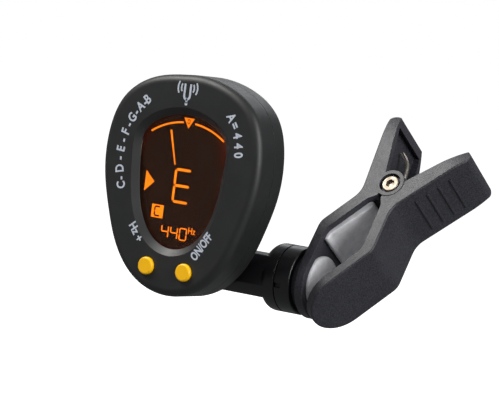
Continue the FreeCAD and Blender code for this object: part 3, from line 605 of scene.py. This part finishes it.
# (text, share of the font's width, x, z, turn in degrees)
BUTTON_LABELS = [("Hz +", 0.85, -11.0, -13.6, -52), ("ON/OFF", 0.7, 10.7, -14.3, 57)]
PRINT_BACK = 0.2             # the emblem reaches this far into the shell
FORK_HALF = 0.85             # from the middle of the fork to a prong
FORK_LINE = 0.55
FORK_TOP, FORK_BEND = 25.2, 22.2
STEM = [(0, 21.55), (0, 20.4)]
FOOT_Z, FOOT_RADIUS = 20.3, 0.42
WAVE_RADII = (1.9, 2.9)
WAVE_LINE, WAVE_Z = 0.42, 24.2


def word_on_arc(text, path, height, thickness):
    """Letters that stand on a path, evenly spread."""
    meshes = []
    for i, letter in enumerate(text):
        point, slope = point_on(path, i / (len(text) - 1))
        meshes.append(print_at(letters(letter, height, LETTER_WIDTH, BOLD, thickness),
                               point.x, point.y, math.atan2(slope.y, slope.x)))
    return meshes


def fork_outlines():
    """Tuning fork: two prongs joined by a bend, a stem with a ball foot, and sound waves."""
    angles = [math.pi * i / 14 for i in range(15)]
    bend = [(-FORK_HALF * math.cos(a), FORK_BEND - FORK_HALF * math.sin(a)) for a in angles]
    prongs = [(-FORK_HALF, FORK_TOP)] + bend + [(FORK_HALF, FORK_TOP)]
    first, last = math.radians(60), math.radians(120)
    waves = [arc_outline(radius, side * first, side * last, WAVE_LINE, WAVE_Z)
             for radius in WAVE_RADII for side in (1, -1)]
    return [stroke_outline(prongs, FORK_LINE), stroke_outline(STEM, FORK_LINE),
            disc_outline(0, FOOT_Z, FOOT_RADIUS)] + waves


def link_print(name, meshes):
    """A piece of ink on the head."""
    link_piece(name, joined(name, meshes), "head", "ink", smooth=False)


class TUNER_OT_face_print(bpy.types.Operator):
    """Prints the generic marks on the face of the head"""
    bl_idname = "tuner.face_print"
    bl_label = "Face print"

    def execute(self, context):
        head = context.scene.tuner_head
        thick = head.print_thickness
        link_print("fork_emblem", [solid_from_outlines("fork", fork_outlines(), -thick / MM,
                                                       PRINT_BACK, on_face)])
        link_print("note_letters", word_on_arc("C-D-E-F-G-A-B", NOTE_ARC, head.letter_height,
                                               thick))
        link_print("reference_pitch_mark", word_on_arc("A=440", REFERENCE_ARC,
                                                       head.letter_height, thick))
        link_print("button_labels", [
            print_at(letters(text, head.label_height, width, BOLD, thick), x, z,
                     math.radians(turn)) for text, width, x, z, turn in BUTTON_LABELS])
        return {"FINISHED"}


# ---- display ----------------------------------------------

SEGMENTS = {"top": (0, 1, 1, 1), "middle": (0, 0.5, 1, 0.5), "bottom": (0, 0, 1, 0),
            "upper_left": (0, 0.5, 0, 1), "upper_right": (1, 0.5, 1, 1),
            "lower_left": (0, 0, 0, 0.5), "lower_right": (1, 0, 1, 0.5)}
GLYPHS = {
    "E": ("top", "middle", "bottom", "upper_left", "lower_left"),
    "4": ("middle", "upper_left", "upper_right", "lower_right"),
    "0": ("top", "bottom", "upper_left", "upper_right", "lower_left", "lower_right"),
    "C": ("top", "bottom", "upper_left", "lower_left"),
    "8": tuple(SEGMENTS),
}


def segment_outlines(glyph, x, z, width, height, thickness, gap):
    """Bars with pointed ends that draw one seven segment figure from its lower left corner."""
    outlines = []
    for name in GLYPHS[glyph]:
        x0, z0, x1, z1 = SEGMENTS[name]
        start = Vector((x + x0 * width, z + z0 * height))
        end = Vector((x + x1 * width, z + z1 * height))
        run = (end - start).normalized()
        side = Vector((-run.y, run.x)) * thickness / 2
        start, end = start + run * gap, end - run * gap
        tip = run * thickness / 2
        outlines.append([tuple(p) for p in (start, start + tip + side, end - tip + side, end,
                                            end - tip - side, start + tip - side)])
    return outlines


def needle_fan(count, first, last, middle_radius, bar, finish):
    """Bars spread round an arc, each pointing out from its centre."""
    tree, given = tree_group("Needle fan", [
        ("Count", "NodeSocketInt"), ("First angle", "NodeSocketFloat"),
        ("Sweep", "NodeSocketFloat"), ("Radius", "NodeSocketFloat"), ("Bar", "NodeSocketVector")])
    points = put(tree, "GeometryNodePoints", {"Count": given["Count"]})
    last_index = maths(tree, "SUBTRACT", given["Count"], 1.0)
    share = maths(tree, "DIVIDE", put(tree, "GeometryNodeInputIndex").outputs[0], last_index)
    angle = maths(tree, "MULTIPLY_ADD", share, given["Sweep"], given["First angle"])
    turn = put(tree, "ShaderNodeCombineXYZ", {"Z": angle})
    straight = put(tree, "ShaderNodeCombineXYZ", {"Y": given["Radius"]})
    out = put(tree, "ShaderNodeVectorRotate", {"Vector": straight.outputs[0], "Angle": angle},
              rotation_type="Z_AXIS")
    spread_out = put(tree, "GeometryNodeSetPosition", {"Geometry": points.outputs[0],
                                                       "Position": out.outputs[0]})
    cube = put(tree, "GeometryNodeMeshCube", {"Size": given["Bar"]})
    bars = put(tree, "GeometryNodeInstanceOnPoints", {
        "Points": spread_out.outputs[0], "Instance": cube.outputs[0], "Rotation": turn.outputs[0]})
    close_tree(tree, bars.outputs[0], finish)
    return run_tree(tree, in_scene("fan", bpy.data.meshes.new("fan")), {
        "Count": count, "First angle": first, "Sweep": last - first, "Radius": middle_radius,
        "Bar": bar})


# places are (x, z) on the face in millimetres
GAUGE_CENTRE_Z = -4.1
GAUGE_LINE = 0.44
GAUGE_ARCS = [(-33.5, -4.6), (5.6, 33.8)]       # degrees from straight up
SIDE_ARROW = [(-10.95, 2.5), (-8.2, 0.0), (-10.95, -2.6)]
TOP_ARROW = [(-1.5, 16.85), (1.6, 16.85), (0.05, 14.3)]
TOP_ZERO = (-0.3, 15.45, 0.62, 1.0)             # x, z, width and height, dark on the arrow
TOP_ZERO_LINE = 0.2
NOTE_FIGURE = (-2.0, -4.05, 4.6, 8.0)           # the same four of the large note
NOTE_LINE, NOTE_UNLIT_LINE, NOTE_GAP = 0.64, 0.6, 0.12
FIGURES_X, FIGURES_Z = -4.15, -13.2
FIGURE_WIDTH, FIGURE_HEIGHT, FIGURE_PITCH = 2.0, 2.85, 2.75
FIGURE_LINE, FIGURE_UNLIT_LINE, FIGURE_GAP = 0.3, 0.28, 0.04
UNIT_X, UNIT_Z, UNIT_HEIGHT, UNIT_WIDTH = 4.85, -11.4, 1.6, 0.85
BOX_LOW, BOX_HIGH = (-7.9, -8.75), (-4.4, -5.5)
BOXED_X, BOXED_Z = 0.95, 0.5                    # of the boxed letter, from the box's corner
BOXED_WIDTH, BOXED_HEIGHT, BOXED_LINE = 1.6, 2.25, 0.44
NEEDLE_ANGLE = math.radians(16.0)
NEEDLE_MIDDLE, NEEDLE_LENGTH = 13.8, 8.7
# the lit needle tapers: shares of its length from the middle, and half widths there
NEEDLE_SHAPE = [(-0.5, -0.16), (0.5, -0.26), (0.5, 0.26), (-0.5, 0.16)]
FAN_HALF_SWEEP = math.radians(30)
FAN_LINE = 0.3
# front and back of each layer, from the front of the panel: the dark letters lie over the lit
# segments and these over the unlit ones
DARK_LAYER, LIT_LAYER, UNLIT_LAYER = (-0.09, -0.05), (-0.06, -0.005), (-0.03, -0.004)
UNIT_DEPTH, UNIT_THICKNESS = -0.04, 0.02
FAN_DEPTH, FAN_THICKNESS = -0.012, 0.008


def link_layer(name, outlines, layer, finish, extra=()):
    """A piece of the display: outlines as solids in one layer, and other meshes."""
    near, far = (PANEL_FRONT + depth for depth in layer)
    meshes = [solid_from_outlines(name, outlines, near, far, on_face), *extra]
    link_piece(name, joined(name, meshes), "head", finish, smooth=False)


def lit_needle():
    """The pointer as one outline, turned to the left about the gauge's centre."""
    sin_n, cos_n = math.sin(NEEDLE_ANGLE), math.cos(NEEDLE_ANGLE)
    needle = [(NEEDLE_MIDDLE + NEEDLE_LENGTH * share, wide) for share, wide in NEEDLE_SHAPE]
    return [(-r * sin_n + wide * cos_n, GAUGE_CENTRE_Z + r * cos_n + wide * sin_n)
            for r, wide in needle]


def figure_row(text, thickness):
    """Small figures side by side."""
    return [outline for i, figure in enumerate(text)
            for outline in segment_outlines(figure, FIGURES_X + i * FIGURE_PITCH, FIGURES_Z,
                                            FIGURE_WIDTH, FIGURE_HEIGHT, thickness, FIGURE_GAP)]


class TUNER_OT_display(bpy.types.Operator):
    """Builds the lit and unlit segments of the display"""
    bl_idname = "tuner.display"
    bl_label = "Display"

    def execute(self, context):
        settings = context.scene.tuner_display
        gauge = settings.gauge_radius / MM
        lit = [arc_outline(gauge, math.radians(first), math.radians(last), GAUGE_LINE,
                           GAUGE_CENTRE_Z) for first, last in GAUGE_ARCS]
        lit += [SIDE_ARROW, TOP_ARROW, lit_needle()]
        lit += segment_outlines("E", *NOTE_FIGURE, NOTE_LINE, NOTE_GAP)
        lit += figure_row("440", FIGURE_LINE)
        # the boxed letter is a lit square with a dark letter in front of it
        (x0, z0), (x1, z1) = BOX_LOW, BOX_HIGH
        lit.append([(x0, z0), (x1, z0), (x1, z1), (x0, z1)])
        dark = segment_outlines("C", x0 + BOXED_X, z0 + BOXED_Z, BOXED_WIDTH, BOXED_HEIGHT,
                                BOXED_LINE, gap=0.0)
        dark += segment_outlines("0", *TOP_ZERO, TOP_ZERO_LINE, gap=0.0)
        unit = print_at(letters("Hz", UNIT_HEIGHT * MM, UNIT_WIDTH, 0.0, UNIT_THICKNESS * MM),
                        UNIT_X, UNIT_Z, depth=PANEL_FRONT + UNIT_DEPTH)
        link_layer("lit_segments", lit, LIT_LAYER, "lit", [unit])
        link_layer("dark_segments", dark, DARK_LAYER, "glass")
        unlit = segment_outlines("8", *NOTE_FIGURE, NOTE_UNLIT_LINE, NOTE_GAP)
        unlit += figure_row("888", FIGURE_UNLIT_LINE)
        fan = needle_fan(settings.needles, FAN_HALF_SWEEP, -FAN_HALF_SWEEP, NEEDLE_MIDDLE * MM,
                         (FAN_LINE * MM, NEEDLE_LENGTH * MM, FAN_THICKNESS * MM), "unlit")
        print_at(fan, 0, GAUGE_CENTRE_Z, depth=PANEL_FRONT + FAN_DEPTH)
        link_layer("unlit_segments", unlit, UNLIT_LAYER, "unlit", [fan])
        return {"FINISHED"}


# ---- clip -------------------------------------------------

# one leg of the spring in clip axes, from the coil to its end: (across, along)
SPRING_LEG = [(2.6, 0.0), (2.9, 2.2), (3.9, 5.2), (6.1, 9.2), (9.7, 11.2)]
LEG_WIDE = 0.55              # each leg leaves the coil this far from the clip's middle
TURN_GAP = 0.03              # between two turns of the wire
TURN_STEPS, LEG_STEPS, WIRE_SIDES = 36, 30, 16


def wire_mesh(points, radius, finish):
    """Round wire along points, by a tree that sweeps a circle along them."""
    tree, given = tree_group("Round wire", [("Wire radius", "NodeSocketFloat"),
                                            ("Sides", "NodeSocketInt")])
    circle = put(tree, "GeometryNodeCurvePrimitiveCircle", {
        "Resolution": given["Sides"], "Radius": given["Wire radius"]})
    swept = put(tree, "GeometryNodeCurveToMesh", {
        "Curve": given["Geometry"], "Profile Curve": circle.outputs[0], "Fill Caps": True})
    smooth = put(tree, "GeometryNodeSetShadeSmooth", {"Geometry": swept.outputs[0]})
    close_tree(tree, smooth.outputs[0], finish)
    curve = bpy.data.curves.new("wire path", "CURVE")
    curve.dimensions = "3D"
    spline = curve.splines.new("POLY")
    spline.points.add(len(points) - 1)
    for target, point in zip(spline.points, points):
        target.co = (*point, 1)
    return run_tree(tree, in_scene("wire path", curve), {"Wire radius": radius,
                                                         "Sides": WIRE_SIDES})


def spring_points(settings, side, wide_side):
    """Helix of one half of the spring, from its outer end to the middle, then its leg."""
    radius = settings.coil_radius / MM
    pitch = settings.wire / MM + TURN_GAP
    steps = settings.coil_turns * TURN_STEPS
    points = []
    for i in range(steps + 1):
        turns_left = settings.coil_turns * (1 - i / steps)
        turn = 2 * math.pi * turns_left
        points.append(in_clip(side * radius * math.cos(turn), -radius * math.sin(turn),
                              wide_side * (LEG_WIDE + pitch * turns_left)))
    smooth_leg = [point_on(SPRING_LEG, i / LEG_STEPS)[0] for i in range(1, LEG_STEPS + 1)]
    return points + [in_clip(side * a, b, wide_side * LEG_WIDE) for a, b in smooth_leg]


class TUNER_OT_spring(bpy.types.Operator):
    """Winds the torsion spring between the handles"""
    bl_idname = "tuner.spring"
    bl_label = "Torsion spring"

    def execute(self, context):
        settings = context.scene.tuner_clip
        for name, body, side, wide_side in (("front", "front_jaw", 1, -1),
                                            ("rear", "clip", -1, 1)):
            mesh = wire_mesh(spring_points(settings, side, wide_side), settings.wire / 2,
                             "spring")
            piece = link_piece(f"spring_wire_{name}", mesh, body, "spring")
            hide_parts(f"torsion_spring_{name}")
        return {"FINISHED"}


PAD_BODIES = {"front_mid_pad": "front_jaw", "front_tip_pad": "front_jaw",
              "rear_mid_pad": "clip", "rear_tip_pad": "clip"}
WELD = 1e-6                  # joins the corners that the faces of a pad share
PAD_VOXEL = 0.22 * MM
PAD_PASSES = 6


class TUNER_OT_pads(bpy.types.Operator):
    """Softens the rubber pads: rounded rims and a slight crown"""
    bl_idname = "tuner.pads"
    bl_label = "Rubber pads"

    def execute(self, context):
        for name, body in PAD_BODIES.items():
            mesh = frame["nodes"][name].data.copy()
            holder = in_scene("pad", mesh)
            merged = bmesh.new()
            merged.from_mesh(mesh)
            bmesh.ops.remove_doubles(merged, verts=merged.verts, dist=WELD)
            merged.to_mesh(mesh)
            merged.free()
            remesh = holder.modifiers.new("even", "REMESH")
            remesh.mode = "VOXEL"
            remesh.voxel_size = PAD_VOXEL
            relax = holder.modifiers.new("soften", "SMOOTH")
            relax.factor = 0.5
            relax.iterations = PAD_PASSES
            graph = context.evaluated_depsgraph_get()
            soft = bpy.data.meshes.new_from_object(holder.evaluated_get(graph))
            bpy.data.objects.remove(holder)
            piece = link_piece(f"{name}_rubber", soft, body, "rubber")
            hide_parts(name)
        return {"FINISHED"}


# ---- battery cover, cell and board ------------------------

COVER_RIBS, RIB_RADIUS = 48, 10.3 * MM
COVER_RIB = (1.0 * MM, 0.5 * MM, 0.36 * MM)     # along the radius, round the rim, high
ARROW_RADIUS, ARROW_LINE = 5.6, 0.6
ARROW_ARC = (math.radians(-48), math.radians(-12))
ARROW_TIP = [(-0.5, 5.6), (-1.9, 6.7), (-1.7, 4.6)]
ARROW_LAYER = (-0.1, 0.14)
PLUS_SIZE, PLUS_LINE = 4.2, 0.7
RING_RADIUS, RING_LINE = 7.8, 0.25
RING_ARCS = [(0.3, 2.8), (3.5, 5.9)]
MARK_LAYER = (-0.03, 0.02)
BOARD_COLUMNS, BOARD_ROWS, BOARD_PITCH = 6, 4, 2.0 * MM
BOARD_PART = (1.0 * MM, 0.5 * MM, 0.5 * MM)
BOARD_SEED = 7
BOARD_X, BOARD_Z, BOARD_LIFT = -12.0 * MM, -6.0 * MM, 0.2 * MM


def rib_ring(count, radius, rib, finish):
    """Short ribs set out evenly round a circle, each pointing at its centre."""
    tree, given = tree_group("Rib ring", [("Count", "NodeSocketInt"), ("Radius", "NodeSocketFloat"),
                                          ("Rib", "NodeSocketVector")])
    circle = put(tree, "GeometryNodeMeshCircle", {"Vertices": given["Count"],
                                                  "Radius": given["Radius"]})
    points = put(tree, "GeometryNodeMeshToPoints", {"Mesh": circle.outputs[0]})
    place = put(tree, "GeometryNodeInputPosition")
    turn = put(tree, "FunctionNodeAlignRotationToVector", {"Vector": place.outputs[0]}, axis="X")
    rib_shape = put(tree, "GeometryNodeMeshCube", {"Size": given["Rib"]})
    ribs = put(tree, "GeometryNodeInstanceOnPoints", {
        "Points": points.outputs[0], "Instance": rib_shape.outputs[0], "Rotation": turn.outputs[0]})
    close_tree(tree, ribs.outputs[0], finish)
    return run_tree(tree, in_scene("ring", bpy.data.meshes.new("ring")),
                    {"Count": count, "Radius": radius, "Rib": rib})


def chip_rows(columns, rows, pitch, part, seed, finish):
    """Small parts on a grid, some places left empty by a seeded choice."""
    tree, given = tree_group("Chip rows", [
        ("Columns", "NodeSocketInt"), ("Rows", "NodeSocketInt"), ("Pitch", "NodeSocketFloat"),
        ("Part", "NodeSocketVector"), ("Seed", "NodeSocketInt")])
    grid = put(tree, "GeometryNodeMeshGrid", {
        "Size X": maths(tree, "MULTIPLY", given["Columns"], given["Pitch"]),
        "Size Y": maths(tree, "MULTIPLY", given["Rows"], given["Pitch"]),
        "Vertices X": given["Columns"], "Vertices Y": given["Rows"]})
    points = put(tree, "GeometryNodeMeshToPoints", {"Mesh": grid.outputs[0]})
    chosen = put(tree, "FunctionNodeRandomValue", {
        "Probability": 0.7, "Seed": given["Seed"]}, data_type="BOOLEAN")
    block = put(tree, "GeometryNodeMeshCube", {"Size": given["Part"]})
    parts = put(tree, "GeometryNodeInstanceOnPoints", {
        "Points": points.outputs[0], "Selection": chosen.outputs[3],
        "Instance": block.outputs[0]})
    close_tree(tree, parts.outputs[0], finish)
    return run_tree(tree, in_scene("rows", bpy.data.meshes.new("rows")), {
        "Columns": columns, "Rows": rows, "Pitch": pitch, "Part": part, "Seed": seed})


def stand_up(mesh, place):
    """Turns a flat mesh from the XY plane to face the back, at a place."""
    mesh.transform(Matrix.Translation(place) @ Matrix.Rotation(math.pi / 2, 4, "X"))
    return mesh


def round_back(back):
    """Gives the places over a round part, from the cover's middle in millimetres."""
    return lambda a, b, depth: Vector((COVER_MIDDLE.x + a * MM, back + depth * MM,
                                       COVER_MIDDLE.z + b * MM))


class TUNER_OT_details(bpy.types.Operator):
    """Grip ribs and arrow of the battery cover, the cell's mark and the small parts of the board"""
    bl_idname = "tuner.details"
    bl_label = "Back details"

    def execute(self, context):
        ribs = stand_up(rib_ring(COVER_RIBS, RIB_RADIUS, COVER_RIB, "head"),
                        Vector((COVER_MIDDLE.x, COVER_BACK, COVER_MIDDLE.z)))
        link_piece("cover_ribs", ribs, "battery_cover", "head", smooth=False)
        turn = arc_outline(ARROW_RADIUS, *ARROW_ARC, ARROW_LINE, 0.0)
        arrow = solid_from_outlines("cover_arrow", [turn, ARROW_TIP], *ARROW_LAYER,
                                    round_back(COVER_BACK))
        link_piece("cover_arrow", arrow, "battery_cover", "head", smooth=False)
        marks = [plus_outline(PLUS_SIZE, PLUS_LINE)]
        marks += [arc_outline(RING_RADIUS, *arc, RING_LINE, 0) for arc in RING_ARCS]
        cell = solid_from_outlines("cell_mark", marks, *MARK_LAYER, round_back(CELL_BACK))
        link_piece("cell_mark", cell, "head", "black_part", smooth=False)
        rows = chip_rows(BOARD_COLUMNS, BOARD_ROWS, BOARD_PITCH, BOARD_PART, BOARD_SEED,
                         "natural")
        stand_up(rows, Vector((HEAD_MIDDLE.x + BOARD_X, BOARD_BACK + BOARD_LIFT,
                               HEAD_MIDDLE.z + BOARD_Z)))
        link_piece("board_parts", rows, "head", "natural", smooth=False)
        return {"FINISHED"}


# ---- stage ------------------------------------------------

FLOOR_HALF = 6.0
FLOOR_GLOW = 0.9
BACKDROP, FILL = 1.0, 0.21   # strength of the world to the camera, and to everything else
# (name, place from the object's middle, size, watts, tint)
SOFTBOXES = [("key softbox", (-0.55, -0.40, 0.80), (0.6, 0.45), 12.0, (1, 0.985, 0.96)),
             ("back softbox", (-0.25, 0.75, 0.62), (0.7, 0.4), 2.2, (0.96, 0.98, 1)),
             ("side softbox", (0.85, -0.25, 0.30), (0.35, 0.6), 8.0, (1, 1, 1))]
# the camera aims right of and below the middle of the face, so the whole clip is in view
AIM_RIGHT, AIM_DOWN = 18.17 * MM, 4.26 * MM
LENS, SENSOR = 175.9, 36     # millimetres, as the camera takes them


def lay_floor(settings):
    """A pale sheet below the object that lights nothing but shows as paper."""
    low = CAD_BOX[0].z - settings.drop
    corners = [(-FLOOR_HALF, -FLOOR_HALF, low), (FLOOR_HALF, -FLOOR_HALF, low),
               (FLOOR_HALF, FLOOR_HALF, low), (-FLOOR_HALF, FLOOR_HALF, low)]
    mesh = bpy.data.meshes.new("floor")
    mesh.from_pydata(corners, [], [(0, 1, 2, 3)])
    floor = in_scene("floor", mesh)
    paper, tree = new_material("Paper, white, matt")
    tooth = spread(tree, object_noise(tree, 2.0, 3.0), 0.995, 1.005)
    mesh.materials.append(end_material(paper, {
        "Base Color": toned(tree, list(settings.floor), tooth), "Roughness": 0.9,
        "Specular IOR Level": 0.1, "Emission Color": (1, 1, 1, 1),
        "Emission Strength": FLOOR_GLOW}))
    floor.visible_glossy = False
    floor.visible_diffuse = False


def light_world():
    """White behind the object, and a weaker cool fill on it."""
    world = bpy.data.worlds.new("studio")
    bpy.context.scene.world = world
    world.use_nodes = True
    sky = world.node_tree
    sky.nodes.clear()
    seen = put(sky, "ShaderNodeLightPath")
    backdrop = put(sky, "ShaderNodeBackground", {"Color": (1, 1, 1, 1), "Strength": BACKDROP})
    fill = put(sky, "ShaderNodeBackground", {"Color": (0.95, 0.97, 1, 1), "Strength": FILL})
    both = put(sky, "ShaderNodeMixShader", {"Fac": seen.outputs["Is Camera Ray"],
                                            1: fill.outputs[0], 2: backdrop.outputs[0]})
    put(sky, "ShaderNodeOutputWorld", {"Surface": both.outputs[0]})


def soft_light(name, place, aim, size, power, tint):
    """A rectangular softbox that looks at a point."""
    light = bpy.data.lights.new(name, "AREA")
    light.shape = "RECTANGLE"
    light.size, light.size_y = size
    light.energy = power
    light.color = tint
    holder = in_scene(name, light)
    holder.location = place
    holder.rotation_euler = (aim - place).to_track_quat("-Z", "Y").to_euler()


def set_camera(settings):
    """The camera: its place is set from the middle of the face, and it looks at its aim."""
    sin_a, cos_a = math.sin(settings.azimuth), math.cos(settings.azimuth)
    sin_e, cos_e = math.sin(settings.elevation), math.cos(settings.elevation)
    away = Vector((sin_a * cos_e, -cos_a * cos_e, sin_e))
    level = Vector((cos_a, sin_a, 0))
    rise = away.cross(level)
    right = level * math.cos(settings.roll) + rise * math.sin(settings.roll)
    up = away.cross(right)
    eye = HEAD_MIDDLE + away * settings.distance
    aim = HEAD_MIDDLE + right * AIM_RIGHT - up * AIM_DOWN
    back = (eye - aim).normalized()
    right = (right - back * right.dot(back)).normalized()
    up = back.cross(right)
    lens = bpy.data.cameras.new("camera")
    lens.sensor_width = SENSOR
    lens.lens = LENS
    lens.clip_start = 0.01
    lens.clip_end = 30
    camera = in_scene("camera", lens)
    turn = Matrix((right, up, back)).transposed().to_4x4()
    camera.matrix_world = Matrix.Translation(eye) @ turn
    bpy.context.scene.camera = camera
    bpy.context.scene.view_settings.view_transform = "Standard"


class TUNER_OT_stage(bpy.types.Operator):
    """Floor, soft studio light and camera"""
    bl_idname = "tuner.stage"
    bl_label = "Stage"

    def execute(self, context):
        settings = context.scene.tuner_stage
        lay_floor(settings)
        light_world()
        middle = (CAD_BOX[0] + CAD_BOX[1]) / 2
        for name, place, size, power, tint in SOFTBOXES:
            soft_light(name, middle + Vector(place), middle, size, power, tint)
        set_camera(settings)
        return {"FINISHED"}


# ---- add-on -----------------------------------------------

OPERATORS = [TUNER_OT_finishes, TUNER_OT_face_print, TUNER_OT_display, TUNER_OT_spring,
             TUNER_OT_pads, TUNER_OT_details, TUNER_OT_stage]


class TUNER_PT_panel(bpy.types.Panel):
    """Lists the steps that dress the tuner"""
    bl_idname = "TUNER_PT_panel"
    bl_label = "Clip on tuner"
    bl_space_type = "VIEW_3D"
    bl_region_type = "UI"
    bl_category = "Tuner"

    def draw(self, context):
        for operator in OPERATORS:
            self.layout.operator(operator.bl_idname)


def register():
    for name, group in GROUPS.items():
        bpy.utils.register_class(group)
        setattr(bpy.types.Scene, name, PointerProperty(type=group))
    for operator in OPERATORS:
        bpy.utils.register_class(operator)
    bpy.utils.register_class(TUNER_PT_panel)


def unregister():
    bpy.utils.unregister_class(TUNER_PT_panel)
    for operator in reversed(OPERATORS):
        bpy.utils.unregister_class(operator)
    for name, group in GROUPS.items():
        delattr(bpy.types.Scene, name)
        bpy.utils.unregister_class(group)


def main():
    register()
    for operator in OPERATORS:
        family, step = operator.bl_idname.split(".")
        getattr(getattr(bpy.ops, family), step)()


if __name__ == "__main__":
    main()
